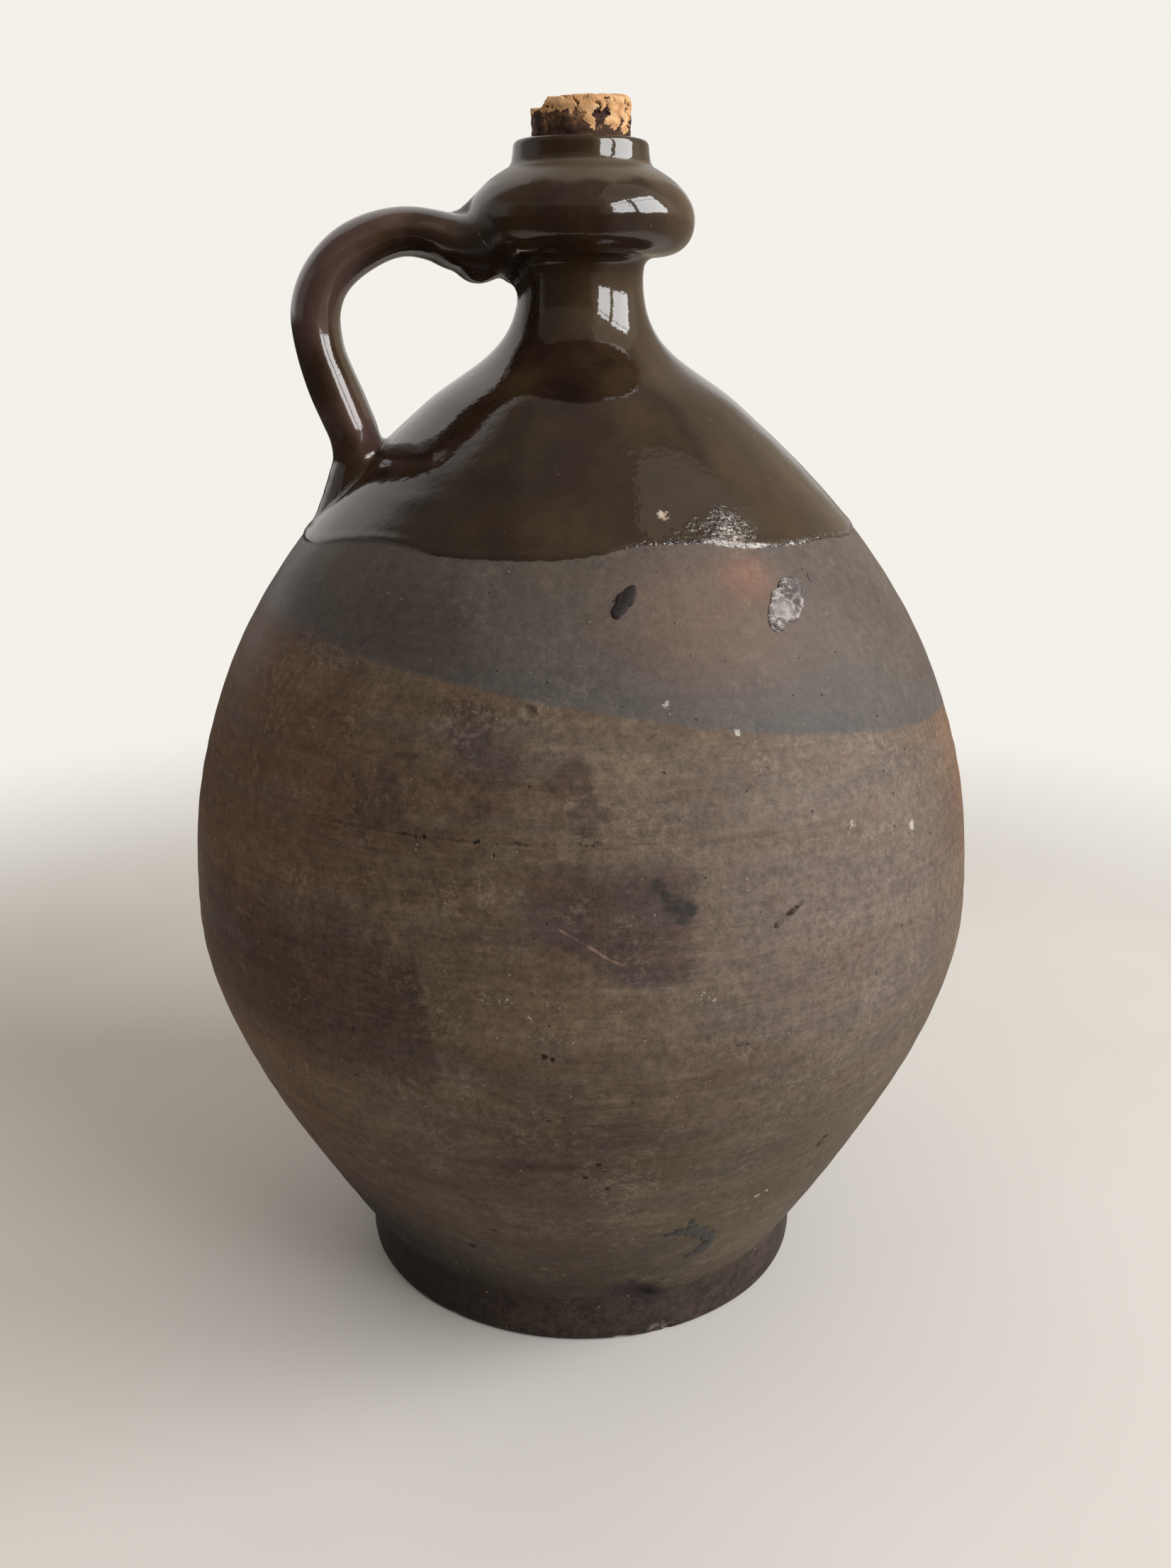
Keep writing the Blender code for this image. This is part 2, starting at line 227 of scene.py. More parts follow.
def refine(piece, place, reach, cuts):
    """Cut the faces near a place into smaller ones, so that they can take a small form."""
    pick(piece)
    bpy.context.tool_settings.mesh_select_mode = (False, False, True)
    faces = piece.data.polygons
    centres = np.empty(len(faces) * 3)
    faces.foreach_get("center", centres)
    far = np.linalg.norm(centres.reshape(-1, 3) - np.array(place), axis=1)
    mode('EDIT')
    bpy.ops.mesh.select_all(action='DESELECT')
    mode('OBJECT')
    faces.foreach_set("select", far < reach)
    mode('EDIT')
    bpy.ops.mesh.subdivide(number_cuts=cuts)
    mode('OBJECT')
    bpy.context.tool_settings.mesh_select_mode = (True, False, False)


def points_of(piece):
    points = np.empty(len(piece.data.vertices) * 3)
    piece.data.vertices.foreach_get("co", points)
    return points.reshape(-1, 3)


def move_to(piece, points):
    piece.data.vertices.foreach_set("co", np.ascontiguousarray(points, np.float32).ravel())
    piece.data.update()


def angle_of(points):
    """Angle round the axis from -Y, positive towards +X."""
    return np.arctan2(points[:, 0], -points[:, 1])


def smooth_step(value, low, high):
    t = np.clip((value - low) / (high - low), 0, 1)
    return t * t * (3 - 2 * t)


# Edges flatter than this are shaded smooth
SMOOTH_BELOW = math.radians(35)


def set_down(piece, body, slot, material, *nodes):
    """Give a finished piece its surface and its body, and hide the frame nodes that it stands for. Its slot
    is not used.
    """
    pick(piece)
    bpy.ops.object.shade_smooth_by_angle(angle=SMOOTH_BELOW)
    piece.data.materials.clear()
    piece.data.materials.append(material)
    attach(piece, body)
    if nodes:
        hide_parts(*nodes)


# Surfaces


def swatch(red, green, blue):
    """A colour as it shows on a screen, 0 to 255, turned into the linear values that shaders take."""
    return tuple((c / 255 / 12.92) if c < 10 else ((c / 255 + 0.055) / 1.055) ** 2.4
                 for c in (red, green, blue)) + (1.0,)


def sum_node(operation, swapped=False):
    """An operator of a shader value, which adds a Math node."""
    def add_node(self, other):
        return self.paint.math(operation, *((other, self) if swapped else (self, other)))
    return add_node


class Value:
    """A shader value. Sums with it add Math nodes."""

    def __init__(self, paint, socket):
        self.paint = paint
        self.socket = socket

    __add__ = __radd__ = sum_node('ADD')
    __mul__ = __rmul__ = sum_node('MULTIPLY')
    __sub__ = sum_node('SUBTRACT')
    __rsub__ = sum_node('SUBTRACT', swapped=True)
    __truediv__ = sum_node('DIVIDE')

    def __neg__(self):
        return self * -1.0


class Paint:
    """One material, or the world, and the nodes that its looks are worked out with."""

    def __init__(self, name, world=False):
        self.owner = (bpy.data.worlds if world else bpy.data.materials).new(name)
        self.owner.use_nodes = True
        self.tree = self.owner.node_tree
        self.tree.nodes.clear()
        self.place = self.node('ShaderNodeTexCoord', output='Generated' if world else 'Object')
        self.x = self.node('ShaderNodeSeparateXYZ', None, {0: self.place}, 'X')
        self.y = self.other(self.x, 'Y')
        self.z = self.other(self.x, 'Z')

    def node(self, kind, settings=None, inputs=None, output=0):
        """Any node: its settings first, then the values or links of its sockets. Gives one output."""
        made = self.tree.nodes.new(kind)
        for key, value in (settings or {}).items():
            if key == 'stops':
                while len(made.color_ramp.elements) < len(value):
                    made.color_ramp.elements.new(0.5)
                for element, (position, colour) in zip(made.color_ramp.elements, value):
                    element.position = position
                    element.color = colour
            elif key == 'points':
                line = made.mapping.curves[0]
                while len(line.points) < len(value):
                    line.points.new(0.5, 0.5)
                for point, spot in zip(line.points, value):
                    point.location = spot
                made.mapping.update()
            else:
                setattr(made, key, value)
        for key, value in (inputs or {}).items():
            if isinstance(value, Value):
                self.tree.links.new(value.socket, made.inputs[key])
            else:
                made.inputs[key].default_value = value
        return Value(self, made.outputs[output]) if made.outputs else None

    def other(self, value, output):
        """Another output of the node that a value comes from."""
        return Value(self, value.socket.node.outputs[output])

    def math(self, operation, *terms):
        return self.node('ShaderNodeMath', {'operation': operation}, dict(enumerate(terms)))

    def vector(self, operation, *terms, output=0):
        return self.node('ShaderNodeVectorMath', {'operation': operation}, dict(enumerate(terms)), output)

    def noise(self, scale, detail=2.0, stretch=(1, 1, 1), shift=(0, 0, 0), rough=0.5):
        """Noise with features about 1/scale metres across, stretched along the axes."""
        place = self.vector('MULTIPLY', self.vector('ADD', self.place, shift), stretch)
        return self.node('ShaderNodeTexNoise', None,
                         {'Vector': place, 'Scale': scale, 'Detail': detail, 'Roughness': rough})

    def cells(self, scale):
        """Cells about 1/scale metres across: distance from their middles, and two random numbers of each."""
        far = self.node('ShaderNodeTexVoronoi', None, {'Vector': self.place, 'Scale': scale}, 'Distance')
        chance = self.node('ShaderNodeSeparateColor', None, {0: self.other(far, 'Color')})
        return far, chance, self.other(chance, 1)

    def step(self, value, low, high):
        """0 below low, 1 above high, smooth between."""
        return self.node('ShaderNodeMapRange', {'interpolation_type': 'SMOOTHSTEP'},
                         {'Value': value, 'From Min': low, 'From Max': high})

    def within(self, value, start, full, fade, end):
        """0 outside start and end, 1 between full and fade."""
        return self.step(value, start, full) * (1 - self.step(value, fade, end))

    def mix(self, factor, first, second, blend='MIX'):
        """Two colours mixed."""
        return self.node('ShaderNodeMix', {'data_type': 'RGBA', 'blend_type': blend},
                         {0: factor, 6: first, 7: second}, 2)

    def ramp(self, value, *stops):
        colours = [(position, swatch(*shade)) for position, shade in stops]
        return self.node('ShaderNodeValToRGB', {'stops': colours}, {0: value})

    def most(self, *masks):
        """The greatest of several masks."""
        top = masks[0]
        for mask in masks[1:]:
            top = self.math('MAXIMUM', top, mask)
        return top

    def grey(self, value):
        """A value as a grey colour, to multiply another colour by."""
        return self.node('ShaderNodeCombineColor', None, {0: value, 1: value, 2: value})

    def near(self, place, reach, stretch=(1, 1, 1), soft=0.6, wander=None):
        """1 at a place on the surface, fading to 0 at its reach."""
        away = self.vector('MULTIPLY', self.vector('SUBTRACT', self.place, place), stretch)
        far = self.vector('LENGTH', away, output=1)
        if wander is not None:
            far = far + wander
        return 1 - self.step(far, reach * (1 - soft), reach)

    def spot(self, azimuth, height, reach, *more, **named):
        """The same round a place on the wall, in degrees and metres."""
        return self.near(on_wall(azimuth, height), reach, *more, **named)

    def spots(self, places, *more, **named):
        """The greatest of several spots, each with its degrees, height and reach."""
        return self.most(*[self.spot(*place, *more, **named) for place in places])

    def stroke(self, start, end, width, soft=0.5, wander=None):
        """1 along a line between two places on the wall, fading to 0 at half its width."""
        start = on_wall(*start)
        along = on_wall(*end) - start
        share = self.vector('DOT_PRODUCT', self.vector('SUBTRACT', self.place, start),
                            along / along.length_squared, output=1)
        share = self.node('ShaderNodeClamp', None, {'Value': share})
        foot = self.node('ShaderNodeVectorMath', {'operation': 'SCALE'}, {0: along, 'Scale': share})
        away = self.vector('SUBTRACT', self.vector('SUBTRACT', self.place, start), foot)
        far = self.vector('LENGTH', away, output=1)
        if wander is not None:
            far = far + wander
        return 1 - self.step(far, width / 2 * (1 - soft), width / 2)

    def layer(self, colour, roughness, height, bend, gleam, **more):
        """One layer: its height is in metres, bend is its refractive index and gleam its mirror light."""
        bump = self.node('ShaderNodeBump', None, {'Height': height, 'Distance': 1.0, 'Strength': 1.0})
        inputs = {'Base Color': colour, 'Roughness': roughness, 'Normal': bump, 'IOR': bend,
                  'Specular IOR Level': gleam}
        inputs.update(more)
        return self.node('ShaderNodeBsdfPrincipled', None, inputs)

    def finish(self, surface):
        self.node('ShaderNodeOutputMaterial', None, {'Surface': surface})
        return self.owner


# Lower edge of the brown glaze: degrees from the viewer's side, and height
GLAZE_EDGE = ((-171, 0.3195), (-140, 0.3215), (-105, 0.3190), (-75, 0.3172), (-40, 0.3228), (-25, 0.3206),
              (-12, 0.3205), (3, 0.3224), (17, 0.3252), (30, 0.3232), (42, 0.3216), (56, 0.3215),
              (70, 0.3196), (105, 0.3225), (140, 0.3240), (171, 0.3205))
EDGE_LOW = 0.31
EDGE_SPAN = 0.02


def edge_points():
    """The glaze's edge as curve points: a turn round the jug from back to back, 0 to 1 each way."""
    points = [((math.radians(azimuth) - VIEW_TURN) / math.tau + 0.5, (height - EDGE_LOW) / EDGE_SPAN)
              for azimuth, height in GLAZE_EDGE]
    first = (points[0][1] + points[-1][1]) / 2
    inner = [p for p in points if 0.005 < p[0] < 0.995]
    return [(0.0, first)] + inner + [(1.0, first)]


def glaze_level(paint):
    """Height above the glaze's lower edge, with the edge's small wandering."""
    angle = paint.math('ARCTAN2', paint.x, -paint.y)
    line = paint.node('ShaderNodeFloatCurve', {'points': edge_points()},
                      {'Value': angle / math.tau + 0.5})
    paint.edge_curve = line.socket.node.mapping
    ragged = (paint.noise(420, 3) - 0.5) * 0.0016
    return paint.z - line * EDGE_SPAN - EDGE_LOW + ragged


def stoneware(paint):
    """Colour, roughness and height of the bare clay, with the dipped grey band under the glaze."""
    cloud = paint.noise(13, 3, (1, 1, 1.4))
    mottle = paint.noise(66, 5, (1, 1, 1.3), rough=0.72)
    bands = paint.noise(1, 4, (8, 8, 130), rough=0.65)
    rubs = paint.noise(1, 3, (110, 110, 640), rough=0.7)
    grit = paint.noise(270, 4, rough=0.95)
    warmth = paint.noise(95, 4, (1, 1, 1.2), (0.3, 0, 0), rough=0.8)
    wander = (mottle - 0.5) * 0.05
    drift = (paint.noise(240, 3) - 0.5) * 0.003
    front = 1 - paint.step(paint.y, -0.06, -0.02)
    side = paint.x * math.cos(VIEW_TURN) - paint.y * math.sin(VIEW_TURN)
    # The viewer's left, away from the window, where painted shade is laid below
    left = paint.step(wander - side, 0.045, 0.135)
    turn = (paint.math('ARCTAN2', paint.x, -paint.y) + VIEW_TURN) * math.degrees(1) + wander * 160
    rise = paint.z + wander * 0.10
    tone = cloud * 0.40 + mottle * 0.40 + bands * 0.20
    colour = paint.ramp(tone, (0.37, (82, 65, 55)), (0.46, (97, 81, 67)),
                        (0.54, (109, 94, 79)), (0.63, (124, 109, 93)))

    def tint(mask, strength, *shade):
        return paint.mix(mask * strength, colour, swatch(*shade))

    # Painted shade: a warm brown cast over the viewer's left, away from the window
    colour = tint(left, 0.68, 110, 78, 53)
    # Patches that the fire left: rust at the sides, tan on the belly, olive low down, and a pale grey patch
    # on the window's side that is partly painted light
    for azimuth, height, reach, squash, strength, shade in (
            (-62, 0.235, 0.105, 0.8, 0.5, (98, 68, 44)), (80, 0.235, 0.085, 0.7, 0.45, (126, 94, 70)),
            (160, 0.200, 0.090, 0.8, 0.5, (104, 76, 54)), (-6, 0.176, 0.050, 1.5, 0.5, (118, 100, 80)),
            (36, 0.205, 0.110, 0.9, 0.58, (132, 119, 112)), (34, 0.080, 0.090, 0.8, 0.5, (112, 104, 80)),
            (-150, 0.090, 0.080, 0.8, 0.5, (88, 80, 58))):
        patch = paint.spot(azimuth, height, reach, (1, 1, squash), 0.95, wander)
        colour = tint(patch, strength, *shade)
    dark = paint.step(wander * 0.1 - paint.x + (0.172 - paint.z) * 0.15, 0.0735, 0.0757)
    dark = dark * paint.step(paint.z, 0.135, 0.160)
    dark = dark * (1 - paint.step(paint.z + wander, 0.190, 0.212)) * front
    colour = tint(dark, 0.55, 60, 46, 43)
    purple = paint.within(turn, -8.5, -4.5, 12.0, 15.5) * paint.within(rise, 0.186, 0.192, 0.222, 0.235)
    purple = purple * paint.step(rise + turn * 0.0014, 0.1963, 0.2003)
    smudges = paint.spots(((-16.2, 0.2735, 0.007), (-14.0, 0.2680, 0.008), (-12.5, 0.2572, 0.011),
                           (-8.6, 0.2559, 0.008), (-1.9, 0.2548, 0.010), (1.3, 0.2456, 0.008),
                           (-26, 0.247, 0.014), (120, 0.215, 0.032), (-110, 0.190, 0.030),
                           (-170, 0.255, 0.018)), (1, 1, 0.9), 0.6, wander * 0.6)
    purple = paint.most(purple, smudges * 0.8)
    colour = tint(purple * front, 0.66, 72, 58, 56)
    haze = paint.noise(1, 4, (20, 20, 75), (0.1, 0, 0), rough=0.6)
    colour = tint(paint.step(haze, 0.52, 0.64), 0.28, 94, 85, 84)
    colour = tint(1 - paint.step(haze, 0.36, 0.48), 0.18, 110, 85, 63)
    colour = tint(paint.step(warmth, 0.52, 0.70), 0.20, 118, 84, 60)
    colour = tint(1 - paint.step(warmth, 0.30, 0.48), 0.18, 92, 86, 84)

    # The band where the jug was dipped askew, bluest at its lower edge, flushed by the flame
    dip = paint.z - 0.2757 + paint.x * 0.1605 - paint.y * 0.0173 + wander * 0.06 + drift * 0.5
    band = paint.step(dip, -0.0012, 0.0012) * (1 - left) + paint.step(dip, -0.009, 0.007) * left
    grey = paint.ramp(paint.noise(34, 5, rough=0.6), (0.35, (84, 76, 70)), (0.65, (96, 88, 82)))
    grey = paint.mix((1 - paint.step(dip, 0.0, 0.030)) * 0.6, grey, swatch(84, 84, 85))
    colour = paint.mix(band * 0.84, colour, grey)
    # Painted shade: the band darker on the viewer's left, away from the window
    colour = tint(left * band, 0.65, 58, 46, 40)
    # A darker spot on the band, front left
    band_dark_spot = paint.spot(-27, 0.300, 0.042, (1, 1, 1.3), 0.9, wander * 0.5)
    colour = tint(band_dark_spot * band, 0.45, 62, 48, 42)
    flush = paint.spot(22, 0.302, 0.052, (1, 1, 1.35), 0.95, wander * 0.5)
    colour = tint(flush * band, 0.55, 120, 95, 80)
    blush = paint.spot(30.3, 0.3137, 0.018, (1, 1, 1.3), 0.98, wander * 0.15)
    colour = tint(blush, 0.45, 150, 104, 84)

    # Turned lines, rubbed flecks, the clay's own grit, and painted shade and light low on the wall
    calm = 1 - band * 0.65
    turned_lines = paint.noise(1, 4, (10, 10, 480), rough=0.7) - 0.5
    uneven = (bands - 0.5) * 0.12 + (rubs - 0.5) * 0.12 + (mottle - 0.5) * 0.16 + turned_lines * 0.55
    shade = 1 + uneven * calm
    shade = shade * (1 + (grit - 0.5) * (2.1 - band * 0.7))
    # Painted shade: the wall darkened towards the foot
    shade = shade * (0.62 + paint.step(paint.z, 0.0, 0.200) * 0.38)
    shade = shade * (0.68 + paint.step(paint.z, 0.020, 0.075) * 0.32)
    # Painted light low on the window's side, and painted shade low on the left
    shade = shade * (1 + paint.spot(38, 0.035, 0.050, soft=0.95) * 0.45)
    shade = shade * (1 - paint.spot(-45, 0.030, 0.070, soft=0.95) * 0.82)
    colour = paint.mix(1.0, colour, paint.grey(shade), 'MULTIPLY')
    fleck = paint.step(rubs + (paint.noise(26, 2) - 0.5) * 0.5, 0.60, 0.72)
    colour = tint(fleck * calm, 0.14, 150, 134, 117)
    dust = paint.step(paint.noise(45, 3), 0.52, 0.66) * paint.step(grit, 0.53, 0.60)
    colour = tint(dust * calm, 0.26, 154, 140, 124)
    foot = 1 - paint.step(paint.z + wander * 0.2, FOOT_TOP - 0.003, FOOT_TOP + 0.005)
    fired = paint.ramp(grit * 0.6 + mottle * 0.4, (0.42, (40, 32, 28)), (0.58, (72, 61, 55)))
    colour = paint.mix(foot * 0.80, colour, fired)
    broken = paint.spots(((19.8, 0.0027, 0.007), (9.7, 0.0004, 0.005)), (1, 1, 2.4), 0.5, drift)
    colour = tint(broken * paint.step(grit, 0.47, 0.56), 0.6, 136, 124, 116)
    # Painted shadow: the foot and the wall just above it darkened on the left, away from the window
    left_foot_shadow = paint.spot(-50, 0.012, 0.085, soft=0.95)
    colour = paint.mix(left_foot_shadow * 0.5, colour, swatch(26, 18, 14))

    # The joint's open dashes, a dotted crack, dark spots, a gouge by the foot and a bright scratch
    seam = 1 - paint.step(paint.math('ABSOLUTE', paint.z - JOIN - 0.0006 + drift * 1.6), 0.0002, 0.0008)
    seam = seam * paint.step(paint.noise(1, 2, (330, 330, 0)), 0.50, 0.56) * front
    seam = seam * paint.step(paint.noise(1, 2, (60, 60, 0), (0.2, 0, 0)), 0.44, 0.58)
    seam = seam * paint.within(paint.x, -0.105, -0.098, -0.022, -0.008)
    dotted = paint.most(paint.stroke((24.2, 0.2045), (26.4, 0.2078), 0.0034, 0.5, drift * 0.8),
                        paint.stroke((26.4, 0.2078), (28.2, 0.2108), 0.0030, 0.5, drift * 0.8))
    slit = paint.stroke((11.6, 0.0246), (17.2, 0.0221), 0.0042, 0.6, drift * 0.4)
    pricks = paint.spots(((2.2, 0.1160, 0.0016), (3.0, 0.1123, 0.0012), (3.6, 0.1024, 0.0018),
                          (0.5, 0.1088, 0.0010), (-21, 0.056, 0.0016), (-15, 0.0716, 0.0014),
                          (-29.1, 0.1645, 0.0018), (-4.5, 0.1640, 0.0012), (-3.4, 0.1634, 0.0010),
                          (-24, 0.2864, 0.0010), (40.2, 0.0975, 0.0022), (40.8, 0.1015, 0.0016)),
                         soft=0.7, wander=drift * 1.1)
    marks = paint.most(seam, dotted * paint.step(grit, 0.50, 0.55), slit, pricks)
    lens = paint.most(paint.stroke((8.2, 0.0300), (11.0, 0.0335), 0.0060, 0.4, drift),
                      paint.stroke((9.0, 0.0262), (17.0, 0.0215), 0.0110, 0.25, drift * 0.5))
    colour = tint(lens, 0.85, 48, 40, 43)
    colour = tint(marks, 0.88, 24, 20, 18)
    stain = paint.spots(((9.4, 0.2221, 0.0045), (10.1, 0.2188, 0.0040), (11.1, 0.2154, 0.0060),
                         (11.8, 0.2120, 0.0042), (12.8, 0.2143, 0.0034)), soft=0.8, wander=drift * 3.0)
    colour = tint(stain * paint.step(grit, 0.38, 0.50), 0.78, 42, 45, 44)
    scratch = paint.most(paint.stroke((-2.6, 0.2089), (0.6, 0.2037), 0.0016, 0.8, drift * 0.2),
                         paint.stroke((0.6, 0.2037), (3.2, 0.1990), 0.0018, 0.8, drift * 0.4),
                         paint.stroke((3.2, 0.1990), (4.9, 0.1968), 0.0016, 0.8, drift * 0.4))
    colour = tint(scratch, 0.75, 184, 148, 130)

    # Small pale grains and dark pits in the clay, and crumbs that stuck to it
    cells, chance, size = paint.cells(250)
    ragged = cells + (grit - 0.5) * 0.20 - size * 0.10
    pale = (1 - paint.step(ragged, 0.0, 0.07)) * paint.step(chance, 0.78, 0.80)
    pit = (1 - paint.step(ragged, 0.0, 0.07)) * (1 - paint.step(chance, 0.14, 0.16))
    colour = tint(pale, 0.55, 160, 148, 132)
    colour = tint(pit, 0.70, 36, 30, 27)
    crumb = paint.spots(((49.6, 0.2248, 0.0024), (37.3, 0.2327, 0.0015), (11.8, 0.2784, 0.0010),
                         (21.5, 0.2685, 0.0013), (60, 0.098, 0.0030),
                         (30.7, 0.0792, 0.0009), (32.4, 0.0806, 0.0009)),
                        soft=0.4, wander=(grit - 0.5) * 0.009)
    group = paint.spots(((-10, 0.1845, 0.008), (-6.5, 0.1776, 0.004), (-4.7, 0.1717, 0.005),
                         (15.3, 0.1833, 0.009), (-2.0, 0.1700, 0.004)), (1, 1, 2.4), 0.5)
    crumb = paint.most(crumb, group * paint.step(grit, 0.565, 0.60))
    colour = tint(crumb, 0.9, 190, 182, 168)

    # The clay is smoother on the left of the shoulder
    sleek = paint.within(turn, -150, -120, -66, -45) * paint.step(rise, 0.16, 0.23)
    rough = 0.68 + (mottle - 0.5) * 0.25 + (grit - 0.5) * 0.3 - band * 0.08 - sleek * 0.24
    height = bands * 0.00014 + rubs * 0.00005 + mottle * 0.00016 + grit * 0.00016
    height = height - pit * 0.0003 + pale * 0.00012 - marks * 0.0003 + crumb * 0.0003
    return colour, rough, height


# Where the handle was pressed on to the collar, on the viewer's side, and the pocket below it, both given
# painted shade
HANDLE_LUTE = (-0.039, -0.017, 0.427)
HANDLE_POCKET = (-0.027, -0.011, 0.4175)


def brown_glaze(paint):
    """Colour, roughness and height of the glossy glaze."""
    depth = paint.noise(22, 3, (1, 1, 0.6))
    runs = paint.noise(1, 3, (52, 52, 8))
    cloud = paint.noise(38, 4, rough=0.6)
    mottle = paint.noise(170, 4, rough=0.9)
    colour = paint.ramp(depth * 0.6 + runs * 0.4, (0.36, (33, 23, 18)), (0.5, (48, 35, 25)),
                        (0.66, (65, 49, 33)))
    colour = paint.mix(paint.step(cloud, 0.50, 0.70) * 0.35, colour, swatch(62, 51, 35))
    colour = paint.mix((1 - paint.step(cloud, 0.32, 0.48)) * 0.5, colour, swatch(42, 27, 22))
    colour = paint.mix(1.0, colour, paint.grey(1 + (mottle - 0.5) * 1.0), 'MULTIPLY')
    cells, chance, _ = paint.cells(150)
    speck = (1 - paint.step(cells, 0.03, 0.08)) * paint.step(chance, 0.80, 0.82)
    colour = paint.mix(speck * 0.5, colour, swatch(110, 92, 70))
    # Painted shade in the crease where the handle meets the collar and in the pocket under it, where the
    # glaze is also rougher
    joint_shade = paint.most(paint.near(HANDLE_LUTE, 0.015, soft=0.7),
                      paint.near(HANDLE_POCKET, 0.010, soft=0.6))
    colour = paint.mix(joint_shade * 0.4, colour, swatch(30, 22, 18))
    rough = 0.030 + mottle * 0.050 + speck * 0.3 + joint_shade * 0.35
    height = paint.noise(105, 3) * 0.00014 + paint.noise(310, 2) * 0.00005 + mottle * 0.00001
    return colour, rough, height


CLAY = {'bend': 1.45, 'gleam': 0.22}
GLASS = {'bend': 1.6, 'gleam': 0.5}


def stoneware_surface():
    paint = Paint("bare_stoneware")
    return paint.finish(paint.layer(*stoneware(paint), **CLAY))


def glaze_surface():
    """The glaze, with a pale band on the collar's shelf under the lip: dust, and painted reflection."""
    paint = Paint("brown_glaze")
    colour, rough, height = brown_glaze(paint)
    # Dust and painted reflection: the shelf under the lip lightened, and made rougher
    level = paint.z + (paint.noise(70, 3) - 0.5) * 0.006
    dust = paint.step(level, 0.4440, 0.4470) * (1 - paint.step(paint.z, 0.4528, 0.4540))
    colour = paint.mix(dust * 0.45, colour, swatch(112, 99, 80))
    return paint.finish(paint.layer(colour, rough + dust * 0.25, height, **GLASS))


def handle_surface():
    """The glaze on the handle, thinner and more purple where hands have worn it."""
    paint = Paint("worn_glaze")
    colour, rough, height = brown_glaze(paint)
    worn = paint.step(paint.noise(30, 3) + (paint.z - 0.40) * 2.0, 0.42, 0.62)
    worn = worn * paint.step(-paint.x, 0.044, 0.066)
    colour = paint.mix(worn * 0.80, colour, swatch(88, 66, 61))
    return paint.finish(paint.layer(colour, rough + worn * 0.05, height, **GLASS))


# A chip in the glaze: degrees and height
SHOULDER_CHIP = (17.1, 0.334)


def shoulder_surface():
    """Bare clay below, glaze above, and the glaze's beaded and sandy edge between them, with painted glints
    along it.
    """
    paint = Paint("dipped_shoulder")
    clay = paint.layer(*stoneware(paint), **CLAY)
    colour, rough, height = brown_glaze(paint)
    level = glaze_level(paint)
    glazed = paint.step(level, -0.0003, 0.0003)
    crumbs, _, _ = paint.cells(560)
    ripple = paint.noise(300, 3, (1, 1, 2.0))
    spread = (ripple - 0.5) * 0.018
    sandy = paint.most(paint.spot(30.3, 0.3265, 0.0115, (1, 1, 1.3), 0.7, spread),
                       paint.spot(30.8, 0.3312, 0.0065, (1, 1, 1.2), 0.7, spread) * 0.8,
                       paint.spot(23.0, 0.3262, 0.010, (1, 1, 1.3), 0.9, spread * 1.6) * 0.35)
    right = paint.step(paint.x, -0.005, 0.020) * (1 - paint.step(paint.y, -0.04, -0.02))
    bead = (1 - paint.step(level, 0.0010, 0.0024)) * paint.step(ripple, 0.44, 0.58) * right
    colour = paint.mix((1 - paint.step(level, 0.0, 0.0022)) * 0.5, colour, swatch(28, 20, 15))
    colour = paint.mix(sandy * 0.6, colour, swatch(34, 25, 19))
    # Painted highlights: pale grains in the sandy patch, and a white line and dots along the glaze's lower
    # edge, stand in for the window's glints
    grain = paint.noise(560, 4, (1, 1, 1.5), rough=0.85)
    colour = paint.mix(paint.step(grain + sandy * 0.14, 0.60, 0.70) * sandy, colour, swatch(158, 146, 138))
    white = (1 - paint.step(level, 0.0009, 0.0021)) * paint.spot(31.0, 0.3236, 0.016, (1, 1, 1.0), 0.6)
    bead_glints = (1 - paint.step(level, 0.0008, 0.0018)) * paint.spot(41.0, 0.3222, 0.022, (1, 1, 1.0), 0.4)
    white = paint.most(white * paint.step(grain, 0.36, 0.48),
                       bead_glints * paint.step(grain, 0.52, 0.60) * 0.8)
    colour = paint.mix(white, colour, swatch(206, 198, 192))
    chip = paint.spot(*SHOULDER_CHIP, 0.0022, wander=(paint.noise(620, 4, rough=0.8) - 0.5) * 0.010)
    colour = paint.mix(chip, colour, swatch(176, 156, 136))
    rough = rough + chip * 0.5 + white * 0.3 + sandy * 0.10
    height = height + crumbs * (sandy * 0.0006 + bead * 0.0005) + ripple * (sandy * 0.0008 + bead * 0.0003)
    glass = paint.layer(colour, rough, height, **GLASS)
    both = paint.node('ShaderNodeMixShader', None, {0: glazed, 1: clay, 2: glass})
    return paint.finish(both), paint.edge_curve


def drop_surface(name, shade, wrinkle, dull, gloss):
    """Glaze that splashed on the bare clay, wrinkled and more or less dull."""
    paint = Paint(name)
    ripple = paint.noise(300, 4, (1, 1, 1.6), rough=0.75)
    colour = paint.ramp(ripple, (0.3, [c * 0.72 for c in shade]), (0.7, shade))
    return paint.finish(paint.layer(colour, dull + ripple * 0.12, ripple * 0.0012 * wrinkle, **gloss))


# Where a bubble burst in the blister: degrees and height
BUBBLE = (33.0, 0.2984)


